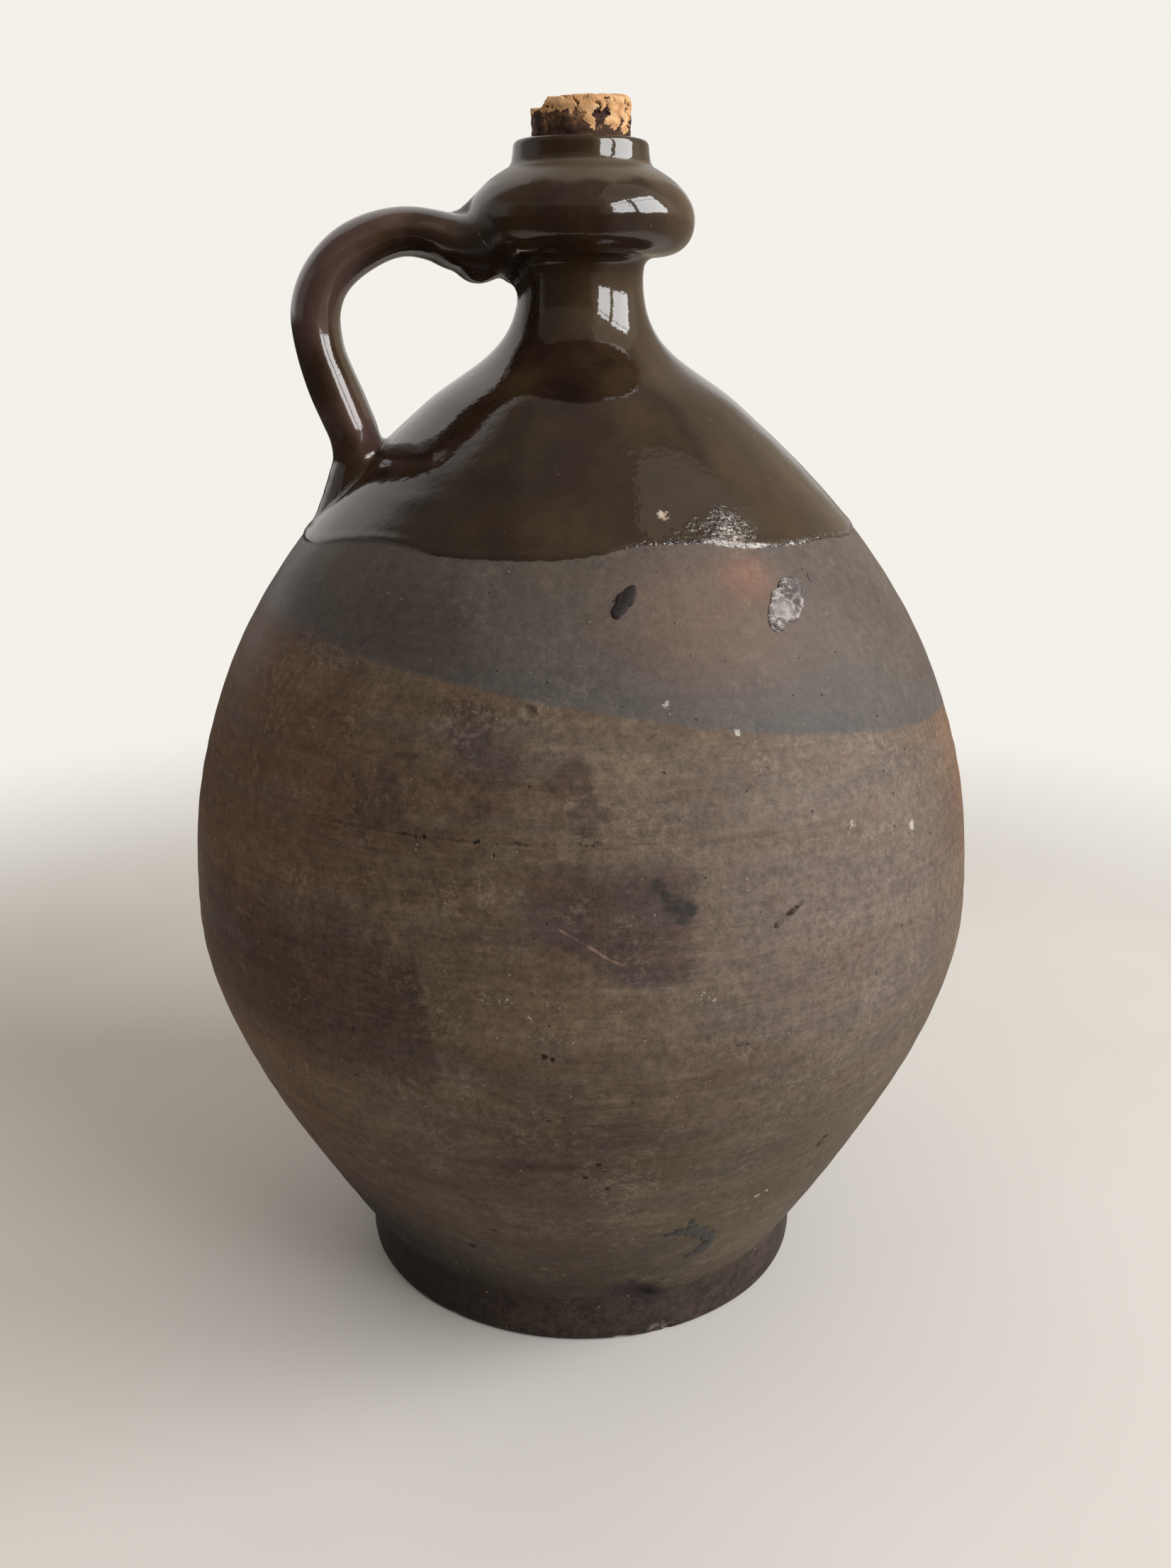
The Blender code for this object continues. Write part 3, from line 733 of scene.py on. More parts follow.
def blister_surface():
    """A blister of clear glaze: grey-brown with pale painted glints, a white painted reflection of the window
    in its middle, purple at its upper right, with a burst bubble below.
    """
    paint = Paint("clear_drop")
    ripple = paint.noise(400, 4, (1, 1, 1.5), rough=0.75)
    wander = (ripple - 0.5) * 0.010
    # Grey-brown glaze with pale painted glints on the ripples' crests
    colour = paint.ramp(ripple, (0.42, (72, 64, 63)), (0.50, (118, 108, 104)),
                        (0.58, (188, 180, 175)))
    colour = paint.mix(paint.spot(40.4, 0.3088, 0.0085, soft=0.6, wander=wander) * 0.75, colour,
                       swatch(84, 73, 75))
    # Painted reflection: the window's white reflection in the blister's middle
    colour = paint.mix(paint.spot(34.3, 0.3020, 0.0062, soft=0.7, wander=wander) * 0.45, colour,
                       swatch(206, 199, 194))
    bubble = paint.spot(*BUBBLE, 0.0032, soft=0.3) - paint.spot(*BUBBLE, 0.0022, soft=0.4)
    colour = paint.mix(bubble * 0.7, colour, swatch(70, 61, 60))
    height = ripple * 0.0016 + bubble * 0.0002
    return paint.finish(paint.layer(colour, 0.06 + ripple * 0.15, height, **GLASS))


def cork_surface():
    """Dry cork above, soaked dark below, with the cracks' purple bottoms."""
    paint = Paint("old_cork")
    mottle = paint.noise(240, 4, rough=0.6)
    grain = paint.noise(1300, 2)
    colour = paint.ramp(mottle, (0.34, (178, 128, 86)), (0.5, (211, 163, 114)),
                        (0.66, (230, 189, 142)))
    stain = paint.node('ShaderNodeAttribute', {'attribute_name': 'stain'}, output='Fac')
    pit = paint.node('ShaderNodeAttribute', {'attribute_name': 'pit'}, output='Fac')
    soak = paint.noise(230, 4, rough=0.65)
    soaked = paint.ramp(soak, (0.34, (52, 37, 33)), (0.52, (82, 58, 45)), (0.66, (146, 108, 76)))
    vein = paint.noise(420, 3, (1, 1, 0.6), rough=0.6)
    ragged = (mottle - 0.5) * 1.6 + (grain - 0.5) * 0.6
    torn = (paint.noise(520, 4, rough=0.75) - 0.5) * 1.0
    colour = paint.mix(paint.step(stain + ragged, 0.40, 0.60), colour, soaked)
    colour = paint.mix(paint.step(vein, 0.62, 0.70) * 0.7, colour, swatch(84, 56, 46))
    colour = paint.mix(paint.step(pit + torn, 0.34, 0.70) * 0.75, colour, swatch(58, 40, 41))
    height = mottle * 0.0004 + grain * 0.00010 - paint.step(vein, 0.62, 0.70) * 0.0002
    return paint.finish(paint.layer(colour, 0.78 + mottle * 0.15, height, 1.4, 0.3))


STONEWARE = stoneware_surface()
GLAZE = glaze_surface()
HANDLE_GLAZE = handle_surface()
SHOULDER, EDGE_CURVE = shoulder_surface()
DARK_DROP = drop_surface("dark_drop", (46, 38, 39), 0.5, 0.50, CLAY)
FAINT_DROP = drop_surface("faint_drop", (100, 87, 84), 0.2, 0.55, CLAY)
OLD_SPLASH = drop_surface("old_splash", (78, 74, 69), 0.6, 0.50, CLAY)
CLEAR_DROP = blister_surface()
CORK = cork_surface()


EDGE_TURNS = np.linspace(0, 1, 721)


def edge_heights():
    """The glaze's lower edge all the way round, read off the curve that the surface uses."""
    EDGE_CURVE.initialize()
    line = EDGE_CURVE.curves[0]
    return [EDGE_CURVE.evaluate(line, float(turn)) * EDGE_SPAN + EDGE_LOW for turn in EDGE_TURNS]


EDGE_HEIGHTS = edge_heights()


def glaze_edge(angle):
    """Height of the glaze's lower edge at angles round the axis."""
    return np.interp(angle / math.tau + 0.5, EDGE_TURNS, EDGE_HEIGHTS)


# Relief of the turned clay


def hand_turned(points):
    """How far the thrown clay stands out of true, at points on it."""
    angle = angle_of(points)
    z = points[:, 2]
    size = np.hypot(points[:, 0], points[:, 1]) / BELLY_RADIUS
    rings = np.sin(math.tau * z / 0.0115 + angle + 1.7 * np.sin(math.tau * z / 0.083))
    rings *= 0.00010 * (0.6 + 0.4 * np.sin(math.tau * z / 0.061 + 2 * angle))
    oval = 0.0004 * np.cos(2 * angle + 0.6 + 9 * z) + 0.0003 * np.cos(3 * angle - 1.1 + 21 * z)
    dimples = 0.00022 * np.sin(7 * angle + 41 * z) * np.sin(5 * angle - 67 * z + 1.3)
    return (rings + oval + dimples) * size


def relief(points):
    """How far the finished outside stands off its true form: the hand's work, and the coat of glaze."""
    level = points[:, 2] - glaze_edge(angle_of(points))
    coat = 0.00045 * smooth_step(level, -0.0005, 0.0007) + 0.0003 * np.exp(-((level - 0.0018) / 0.0014) ** 2)
    turn = np.degrees(angle_of(points) + VIEW_TURN)
    rolled = smooth_step(turn, 22, 29) * (1 - smooth_step(turn, 36, 42))
    coat += 0.0006 * rolled * np.exp(-((level - 0.0016) / 0.0012) ** 2)
    coat *= smooth_step(np.hypot(points[:, 0], points[:, 1]), 0.0195, 0.0220)
    return hand_turned(points) + coat


def belly_seam(points):
    """The open dashes of the joint between the two thrown halves."""
    angle = np.degrees(angle_of(points) + VIEW_TURN)
    dash = smooth_step(np.sin(angle * 1.9) + np.sin(angle * 0.77 + 1) + 0.5 * np.sin(angle * 5.3), 0.5, 1.1)
    dash *= smooth_step(angle, -34, -30) * (1 - smooth_step(angle, 8, 13))
    return -0.0006 * dash * np.exp(-((points[:, 2] - JOIN) / 0.0005) ** 2)


def dent(points, place, width, tall, depth, rim=0.0):
    """A hollow in the wall, with a raised rim."""
    away = points - np.array(place)
    side = np.array((-place.y, place.x, 0)) / math.hypot(place.x, place.y)
    u = away @ side / (width / 2)
    v = away[:, 2] / (tall / 2)
    far = np.sqrt(u * u + v * v) + (np.abs(away @ (np.array(place) / place.length)) > 0.03) * 9
    return -depth * (1 - smooth_step(far, 0.25, 1.0)) + rim * np.exp(-((far - 1.1) / 0.28) ** 2)


def stand_out(points, distance):
    """Points moved out from the axis."""
    radius = np.maximum(np.hypot(points[:, 0], points[:, 1]), 1e-9)
    moved = points.copy()
    moved[:, :2] *= ((radius + distance) / radius)[:, None]
    return moved


# Handle: its centre line outwards from the axis, height, width and thickness
HANDLE_LINE = np.array((
    (0.0205, 0.4225, 0.0120, 0.0160), (0.0260, 0.4235, 0.0220, 0.0205), (0.0330, 0.4243, 0.0310, 0.0212),
    (0.0400, 0.4245, 0.0345, 0.0212), (0.0484, 0.4256, 0.0340, 0.0203),
    (0.0560, 0.4279, 0.0330, 0.0184), (0.0640, 0.4292, 0.0324, 0.0179),
    (0.0715, 0.4287, 0.0320, 0.0181), (0.0794, 0.4263, 0.0318, 0.0184), (0.0871, 0.4222, 0.0316, 0.0186),
    (0.0933, 0.4170, 0.0315, 0.0187), (0.0979, 0.4110, 0.0315, 0.0187), (0.1007, 0.4042, 0.0316, 0.0187),
    (0.1016, 0.3970, 0.0318, 0.0187), (0.1002, 0.3860, 0.0320, 0.0187), (0.0969, 0.3753, 0.0326, 0.0189),
    (0.0926, 0.3645, 0.0332, 0.0191), (0.0890, 0.3545, 0.0336, 0.0193), (0.0885, 0.3450, 0.0326, 0.0189),
    (0.0925, 0.3360, 0.0286, 0.0170), (0.0985, 0.3270, 0.0216, 0.0118), (0.1050, 0.3180, 0.0130, 0.0066),
    (0.1095, 0.3110, 0.0060, 0.0030)))


def smooth_line(points, count):
    """A smooth line through points, with evenly spaced steps."""
    ends = np.vstack([2 * points[0] - points[1], points, 2 * points[-1] - points[-2]])
    t = np.linspace(0, 1, 24, endpoint=False)[:, None]
    parts = []
    for p0, p1, p2, p3 in zip(ends, ends[1:], ends[2:], ends[3:]):
        parts.append(0.5 * (2 * p1 + (p2 - p0) * t + (2 * p0 - 5 * p1 + 4 * p2 - p3) * t ** 2
                            + (3 * p1 - p0 - 3 * p2 + p3) * t ** 3))
    line = np.vstack(parts + [points[-1:]])
    run = np.concatenate([[0], np.cumsum(np.linalg.norm(np.diff(line[:, :2], axis=0), axis=1))])
    marks = np.linspace(0, run[-1], count)
    return np.stack([np.interp(marks, run, line[:, k]) for k in range(line.shape[1])], axis=1)


STRAP = smooth_line(HANDLE_LINE, 180)
STRAP_RUN = np.gradient(STRAP[:, :2], axis=0)
STRAP_RUN /= np.linalg.norm(STRAP_RUN, axis=1)[:, None]
STRAP_OUT = np.stack([-STRAP_RUN[:, 1], STRAP_RUN[:, 0]], axis=1)
# How far the strap's rounded ends reach past its line
STRAP_END = 0.004


def handle_gap(points):
    """How far points stand off the handle's surface: negative inside it."""
    flat = np.stack([-points[:, 0], points[:, 2]], axis=1)
    gaps = np.full(len(points), 1.0)
    close = np.where((flat[:, 0] > 0) & (np.abs(points[:, 1]) < 0.05) & (flat[:, 1] > 0.28))[0]
    for part in np.array_split(close, max(1, len(close) // 4000)):
        away = flat[part][:, None, :] - STRAP[None, :, :2]
        nearest = np.argmin((away ** 2).sum(2), axis=1)
        off = (away[np.arange(len(part)), nearest] * STRAP_OUT[nearest]).sum(1)
        past = (away[np.arange(len(part)), nearest] * STRAP_RUN[nearest]).sum(1)
        half_wide = STRAP[nearest, 2] / 2
        half_thick = STRAP[nearest, 3] / 2
        place = np.stack([off, points[part, 1], past], axis=1)
        halves = np.stack([half_thick, half_wide, np.full(len(part), STRAP_END)], axis=1)
        size = np.linalg.norm(place / halves, axis=1) + 1e-6
        steep = np.linalg.norm(place / halves ** 2, axis=1) + 1e-6
        gaps[part] = (size - 1) * size / steep
    return gaps


WAD_PLACE = np.array((-0.0398, 0.0, 0.4162))
WAD_SIZE = np.array((0.0072, 0.0085, 0.0053))
WAD_REACH = 0.0035


def wad_gap(points):
    """How far points stand off the wad of clay under the handle."""
    away = (points - WAD_PLACE) / WAD_SIZE
    size = np.linalg.norm(away, axis=1) + 1e-6
    return (size - 1) * size / (np.linalg.norm(away / WAD_SIZE, axis=1) + 1e-6)


def turned_gap(points):
    """How far points stand off the outside of the turned jug."""
    flat = np.stack([np.hypot(points[:, 0], points[:, 1]), points[:, 2]], axis=1)
    gaps = np.empty(len(points))
    starts = JUG_LINE[:-1]
    runs = JUG_LINE[1:] - starts
    lengths = (runs ** 2).sum(1)
    for part in np.array_split(np.arange(len(points)), max(1, len(points) // 2000)):
        away = flat[part][:, None, :] - starts[None]
        share = np.clip((away * runs).sum(2) / lengths, 0, 1)
        rest = away - share[:, :, None] * runs
        far = np.sqrt((rest ** 2).sum(2))
        nearest = np.argmin(far, axis=1)
        picked = rest[np.arange(len(part)), nearest]
        side = runs[nearest, 1] * picked[:, 0] - runs[nearest, 0] * picked[:, 1]
        gaps[part] = np.where(side >= 0, 1, -1) * far[np.arange(len(part)), nearest]
    return gaps


def jug_gap(points):
    """How far points stand off the jug as it was finished, with its relief."""
    return turned_gap(stand_out(points, -relief(points)))


def clay_gaps(points):
    return np.stack([jug_gap(points), handle_gap(points), wad_gap(points)])


JUG, HANDLE, WAD = range(3)


def lute_reach(points):
    """How far a luted joint is smoothed: wide under and behind the collar, narrow in the near creases."""
    y = points[:, 1]
    z = points[:, 2]
    web = 0.0025 + 0.0085 * smooth_step(y, -0.006, 0.002)
    collar = web + (0.0120 - web) * (1 - smooth_step(z, 0.428, 0.438))
    root = 0.0012 + 0.0040 * smooth_step(z, 0.322, 0.342)
    return np.where(z > 0.39, collar, root)


def joined(first, second, reach):
    """The gap to two solids that run together in a smooth hollow."""
    return np.minimum(first, second) - np.maximum(reach - np.abs(first - second), 0) ** 2 / (4 * reach)


def skin_gap(points):
    """How far points stand off the skin of the luted jug, and their gaps to its three solids."""
    gaps = clay_gaps(points)
    return joined(joined(gaps[JUG], gaps[HANDLE], lute_reach(points)), gaps[WAD], WAD_REACH), gaps


def melt(piece, own):
    """Draw a surface onto the smooth skin over the joints. Past a joint, it dives into its neighbour."""
    points = points_of(piece)
    near = np.where((points[:, 0] < 0) & (np.abs(points[:, 1]) < 0.034) & (points[:, 2] > 0.30))[0]
    gaps = clay_gaps(points[near])
    others = np.delete(gaps, own, 0).min(0)
    kept = (others < 0.014) & (others > -0.008) & (np.abs(gaps[own]) < 0.002)
    near = near[kept]
    here = points[near]
    start = gaps[own, kept]
    tiny = 0.0002
    for _ in range(6):
        skin, gaps = skin_gap(here)
        other = np.delete(gaps, own, 0).min(0)
        past = np.maximum(gaps[own] - other, 0)
        wanted = start * smooth_step(other, 0, 0.012) - past * (0.5 + 0.5 * smooth_step(past, 0, 0.006))
        slope = np.stack([(skin_gap(here + tiny * axis)[0] - skin) / tiny for axis in np.eye(3)], axis=1)
        step = (wanted - skin) / np.maximum((slope ** 2).sum(1), 0.3)
        here = here + 0.85 * np.clip(step, -0.002, 0.002)[:, None] * slope
    points[near] = here
    move_to(piece, points)


# Turned pieces of the jug


def cork_radius(height):
    share = (height - CORK_BOTTOM) / (CORK_TOP - CORK_BOTTOM)
    return CORK_RADIUS_LOW + (CORK_RADIUS_HIGH - CORK_RADIUS_LOW) * share


def collar_line():
    """Outside of the collar: a hollow up from the neck, the bulge, and the slope under the lip."""
    neck = NECK_RADIUS
    under = neck + 0.0055
    lip = 0.0265
    low = BULGE - COLLAR_FOOT
    high = LIP_FOOT - BULGE
    hollow = cubic((neck, NECK_TOP + 0.0015), (neck, NECK_TOP + 0.0055), (neck + 0.0018, COLLAR_FOOT),
                   (under, COLLAR_FOOT + 0.0003), 40)
    below = cubic((under, COLLAR_FOOT + 0.0003),
                  (under + 0.66 * (COLLAR_RADIUS - under), COLLAR_FOOT + 0.0006),
                  (COLLAR_RADIUS, COLLAR_FOOT + 0.43 * low), (COLLAR_RADIUS, BULGE), 60)
    above = cubic((COLLAR_RADIUS, BULGE), (COLLAR_RADIUS, BULGE + 0.40 * high),
                  (lip + 0.60 * (COLLAR_RADIUS - lip), BULGE + 0.75 * high), (lip, LIP_FOOT), 60)
    return np.vstack([hollow, below[1:], above[1:]])


def lip_line():
    """Outside of the lip, from a small hollow on the collar up to the middle of its top."""
    hollow = cubic((0.0290, 0.45105), (0.0272, 0.4520), (0.0263, 0.4524), (0.0258, 0.4545), 20)
    side = cubic((0.0258, 0.4545), (0.0255, 0.4562), (0.0253, 0.4578), (0.0252, 0.4592), 12)
    top = cubic((0.0252, 0.4592), (0.0251, 0.4607), (0.0243, RIM), (0.0228, RIM), 20)
    flat = cubic((0.0228, RIM), (0.0224, RIM), (0.0218, RIM), (0.0214, RIM), 5)
    return np.vstack([hollow, side[1:], top[1:], flat[1:]])


COLLAR_LINE = collar_line()
LIP_LINE = lip_line()
JUG_LINE = spaced(np.vstack([WALL[(WALL[:, 1] > 0.27) & (WALL[:, 1] < NECK_TOP)],
                             COLLAR_LINE[COLLAR_LINE[:, 1] < 0.4508], LIP_LINE]), 0.0012)


def listed(curve):
    return [(float(r), float(z)) for r, z in curve]


# Chips in the foot's edge, and nicks and scrapes low on the wall: degrees, height, then the mark's width,
# height and depth
CHIPS = ((18.5, 0.0028, 0.009, 0.006, 0.0012), (21.5, 0.0015, 0.006, 0.004, 0.0010),
         (10.0, 0.0004, 0.008, 0.003, 0.0009), (-34, 0.0006, 0.007, 0.003, 0.0007),
         (120, 0.0015, 0.010, 0.005, 0.0012), (-150, 0.001, 0.008, 0.004, 0.001))
SCARS = ((-51, 0.0910, 0.0060, 0.0130, 0.0010), (56.9, 0.0960, 0.0060, 0.0050, 0.0010),
         (40.3, 0.0990, 0.0040, 0.0090, 0.0008), (-38.6, 0.0973, 0.0030, 0.0110, 0.0005))
GOUGE = on_wall(12.7, 0.0262)
GOUGE_FORM = (0.021, 0.013, 0.0022, 0.0006)

# Where the handle is luted on: its upper end at the collar, the web under it and its root on the shoulder
LUTE = Vector((-0.041, 0, 0.427))
WEB = Vector((-0.0245, 0, 0.412))
ROOT = Vector((-0.092, 0, 0.345))


def at_marks(marks, reach):
    """Where marks need a finer surface."""
    return [(on_wall(azimuth, height), reach, 2) for azimuth, height, *_ in marks]


def dents(points, marks, rim=0.0):
    """The hollows of several marks, with rims of a share of their depth."""
    return sum(dent(points, on_wall(azimuth, height), width, tall, depth, depth * rim)
               for azimuth, height, width, tall, depth in marks)


def throw(name, outline, form, slot, material, node, finer=(), luted=False):
    """Turn one piece of clay, cut its surface finer at some places, give it its form and set it down."""
    piece = turned(name, outline)
    for place, reach, cuts in finer:
        refine(piece, place, reach, cuts)
    points = points_of(piece)
    move_to(piece, stand_out(points, form(points)))
    if luted:
        melt(piece, JUG)
    set_down(piece, "jug", slot, material, node)


def make_foot():
    outer = FOOT_RADIUS
    side = [(outer, z) for z in np.linspace(0.004, FOOT_TOP, 14)]
    outline = [(outer - 0.0022, 0), (outer - 0.0012, 0.0003), (outer - 0.0004, 0.0012)] + side
    outline += [(FOOT_BORE, FOOT_TOP), (FOOT_BORE, 0.002)]
    outline += [(FOOT_BORE + 0.0006, 0.0006), (FOOT_BORE + 0.002, 0)]

    def form(points):
        return hand_turned(points) + dents(points, CHIPS) + dent(points, GOUGE, *GOUGE_FORM)

    throw("thrown_foot", outline + [outline[0]], form, "bare_stoneware", STONEWARE, "foot_ring",
          at_marks(CHIPS, 0.010))


def make_lower_body():
    fine = ((FOOT_TOP, FOOT_TOP + 0.02, 0.001), (JOIN - 0.003, JOIN, 0.00025))
    wall = outside(FOOT_TOP, JOIN, 0.0022, fine)
    middle = wall[-1][0] - BODY_WALL / 2
    outline = [(0, FLOOR_UNDER), (FOOT_BORE - 0.0002, FLOOR_UNDER), (FOOT_BORE - 0.0002, FOOT_TOP)] + wall
    outline += [(middle, JOIN), (middle, JOIN + LAP)] + inside(JOIN + LAP, FLOOR_TOP + 0.014, BODY_WALL)
    outline += [(0.084, FLOOR_TOP + 0.002), (0.078, FLOOR_TOP), (0.04, FLOOR_TOP), (0, FLOOR_TOP)]

    def form(points):
        wounds = dent(points, GOUGE, *GOUGE_FORM) + dents(points, SCARS, 0.2)
        return hand_turned(points) + belly_seam(points) + wounds

    throw("thrown_lower_body", outline, form, "bare_stoneware", STONEWARE, "lower_body",
          [(GOUGE, 0.020, 2)] + at_marks(SCARS, 0.009))


def make_upper_body():
    fine = ((JOIN, JOIN + 0.003, 0.00025), (0.313, 0.329, 0.0005), (SEAT - 0.002, SEAT, 0.0004))
    wall = outside(JOIN, SEAT, 0.0018, fine)
    middle = wall[0][0] - BODY_WALL / 2 + 0.0002
    seat = wall[-1]
    inner = inside(SEAT - 0.012, JOIN + LAP, BODY_WALL)
    outline = wall + [(seat[0] - 0.006, SEAT - 0.001), (seat[0] - 0.007, SEAT - 0.006)] + inner
    outline += [(middle, JOIN + LAP), (middle, JOIN)]
    pit = on_wall(-7.2, 0.2762)
    chip = on_wall(*SHOULDER_CHIP)

    def form(points):
        wounds = dent(points, pit, 0.006, 0.005, 0.0011, 0.0003) + dent(points, chip, 0.003, 0.003, 0.0006)
        return relief(points) + belly_seam(points) + wounds

    throw("thrown_shoulder", outline + [outline[0]], form, "brown_glaze", SHOULDER, "upper_body",
          ((ROOT, 0.032, 1), (pit, 0.008, 2), (chip, 0.005, 2)), luted=True)


def make_neck():
    wall = outside(SEAT, NECK_TOP + 0.006, 0.0013, ((SEAT, SEAT + 0.002, 0.0004),))
    bore = [(NECK_BORE, z) for z in np.linspace(NECK_TOP + 0.006, 0.400, 5)]
    bore += [(NECK_BORE + 0.004, 0.388), (0.031, 0.378), (0.0400, 0.371)]
    outline = wall + bore + [(0.0520, 0.3630), (0.0548, 0.3612), (wall[0][0] - 0.0058, SEAT - 0.0009)]

    def form(points):
        tucked = 0.0004 * smooth_step(points[:, 2], NECK_TOP + 0.0030, NECK_TOP + 0.0045)
        return relief(points) - tucked

    throw("thrown_neck", outline + [outline[0]], form, "brown_glaze", GLAZE, "neck",
          ((WEB, 0.014, 1),), luted=True)


def make_collar():
    line = spaced(COLLAR_LINE, 0.0008)
    mouth = cork_radius(LIP_FOOT) + CORK_ROOM
    outline = listed(line) + [(mouth, LIP_FOOT), (cork_radius(0.438) + CORK_ROOM, 0.438), (NECK_BORE, 0.436)]
    outline += [(NECK_BORE, NECK_TOP + 0.0063), (NECK_RADIUS + 0.0006, NECK_TOP + 0.0063)]
    throw("collar_ring", outline + [outline[0]], relief, "brown_glaze", GLAZE, "collar",
          ((LUTE, 0.024, 1),), luted=True)


def make_lip():
    line = spaced(LIP_LINE, 0.0006)
    mouth = cork_radius(RIM) + CORK_ROOM
    inner = cubic((0.0214, RIM), (0.0198, RIM), (mouth, RIM - 0.0002), (mouth, RIM - 0.0022), 10)
    outline = listed(line) + listed(inner)[1:]
    outline += [(cork_radius(LIP_FOOT) + CORK_ROOM, LIP_FOOT), (0.024, LIP_FOOT)]
    throw("drawn_lip", outline + [outline[0]], relief, "brown_glaze", GLAZE, "lip_ring")


# Handle, wad and drops of glaze


def bar(name, sides, steps):
    """A round bar one unit long, with many rings, to be bent into shape."""
    deselect()
    bpy.ops.mesh.primitive_circle_add(vertices=sides, radius=1, fill_type='NGON')
    piece = added(name)
    mode('EDIT')
    bpy.ops.mesh.select_all(action='SELECT')
    for _ in range(steps):
        bpy.ops.mesh.extrude_region_move(TRANSFORM_OT_translate={"value": (0, 0, 1 / steps)})
    bpy.ops.mesh.select_all(action='SELECT')
    bpy.ops.mesh.normals_make_consistent(inside=False)
    mode('OBJECT')
    return piece


def bent(points, line):
    """Where a straight bar's points come along a line: the place, the step and the line's values there."""
    place = np.clip(points[:, 2], 0, 1) * (len(line) - 1)
    low = np.minimum(place.astype(int), len(line) - 2)
    part = (place - low)[:, None]
    return place, low, line[low] * (1 - part) + line[low + 1] * part


def make_handle():
    """A straight bar bent along the handle's line, pressed into an oval strap."""
    piece = bar("pulled_handle", 48, 150)
    points = points_of(piece)
    share, _, centre = bent(points, np.hstack([STRAP, STRAP_OUT]))
    out = centre[:, 4:]
    turn = np.arctan2(points[:, 1], points[:, 0])
    wave = 1 + 0.018 * np.sin(share * 0.11 + 0.8) + 0.012 * np.sin(share * 0.23 + 2 * turn)
    thick = centre[:, 3] / 2 * np.cos(turn) * wave
    wide = centre[:, 2] / 2 * np.sin(turn) * wave
    flat = centre[:, :2] + out * thick[:, None]
    move_to(piece, np.stack([-flat[:, 0], wide, flat[:, 1]], axis=1))
    refine(piece, LUTE, 0.020, 1)
    melt(piece, HANDLE)
    set_down(piece, "jug", "brown_glaze", HANDLE_GLAZE, "handle")


def make_wad():
    """The lump of clay pressed up under the handle's end."""
    deselect()
    bpy.ops.mesh.primitive_uv_sphere_add(segments=48, ring_count=32, radius=1)
    piece = added("pressed_wad")
    points = points_of(piece)
    shaped = points * WAD_SIZE + WAD_PLACE
    shaped[:, 2] += 0.0008 * np.sin(5 * points[:, 0] + 1) * np.sin(4 * points[:, 1]) * (points[:, 2] < 0)
    move_to(piece, shaped)
    melt(piece, WAD)
    set_down(piece, "jug", "brown_glaze", GLAZE, "handle_wad")


def make_drop(name, outline, thick, material):
    """A ball pressed flat on the wall, with an outline of (degrees, height) points and a rounded edge."""
    deselect()
    bpy.ops.mesh.primitive_uv_sphere_add(segments=48, ring_count=24, radius=1)
    piece = added(name)
    edge = np.array(outline)
    middle = edge.mean(axis=0)
    scale = math.radians(1) * float(wall_radius(middle[1]))
    away = (edge - middle) * np.array((scale, 1))
    turn = np.arctan2(away[:, 1], away[:, 0])
    order = np.argsort(turn)
    reach = np.hypot(away[:, 0], away[:, 1])[order]
    turn = turn[order]
    points = points_of(piece)
    angle = np.arctan2(points[:, 1], points[:, 0])
    size = np.interp(angle, np.concatenate([turn - math.tau, turn, turn + math.tau]), np.tile(reach, 3))
    across = np.hypot(points[:, 0], points[:, 1]) * size * np.cos(angle)
    up = np.hypot(points[:, 0], points[:, 1]) * size * np.sin(angle)
    lift = np.where(points[:, 2] > 0, thick * np.abs(points[:, 2]) ** 0.7, 0.0015 * points[:, 2])
    placed = [on_wall(middle[0] + u / scale, middle[1] + v, h) for u, v, h in zip(across, up, lift)]
    move_to(piece, np.array(placed))
    set_down(piece, "jug", "brown_glaze", material)


# Middle of the splash: degrees, height and width
SPLASH_LINE = ((14.6, 0.0672, 0.0010), (17.3, 0.0680, 0.0042), (19.6, 0.0675, 0.0064),
               (22.8, 0.0620, 0.0058), (25.1, 0.0572, 0.0064), (24.3, 0.0525, 0.0066),
               (23.0, 0.0492, 0.0058), (21.0, 0.0468, 0.0026))
SPLASH_RADIUS = 0.12


def make_splash():
    """A claw-shaped splash of glaze low on the wall: a tapered bar bent along it and pressed flat."""
    piece = bar("glaze_splash", 16, 60)
    line = smooth_line(np.array(SPLASH_LINE), 120)
    points = points_of(piece)
    place, low, centre = bent(points, line)
    scale = math.radians(1) * SPLASH_RADIUS
    run = np.gradient(line[:, :2] * np.array((scale, 1)), axis=0)
    run /= np.linalg.norm(run, axis=1)[:, None]
    side = np.stack([-run[:, 1] / scale, run[:, 0]], axis=1)[low]
    wobble = 1 + 0.30 * np.sin(0.34 * place + 1) + 0.20 * np.sin(0.81 * place)
    spot = centre[:, :2] + side * (points[:, 0] * wobble * centre[:, 2] / 2)[:, None]
    placed = [on_wall(a, z, h) for (a, z), h in zip(spot, points[:, 1] * 0.0007 + 0.0001)]
    move_to(piece, np.array(placed))
    set_down(piece, "jug", "brown_glaze", OLD_SPLASH)


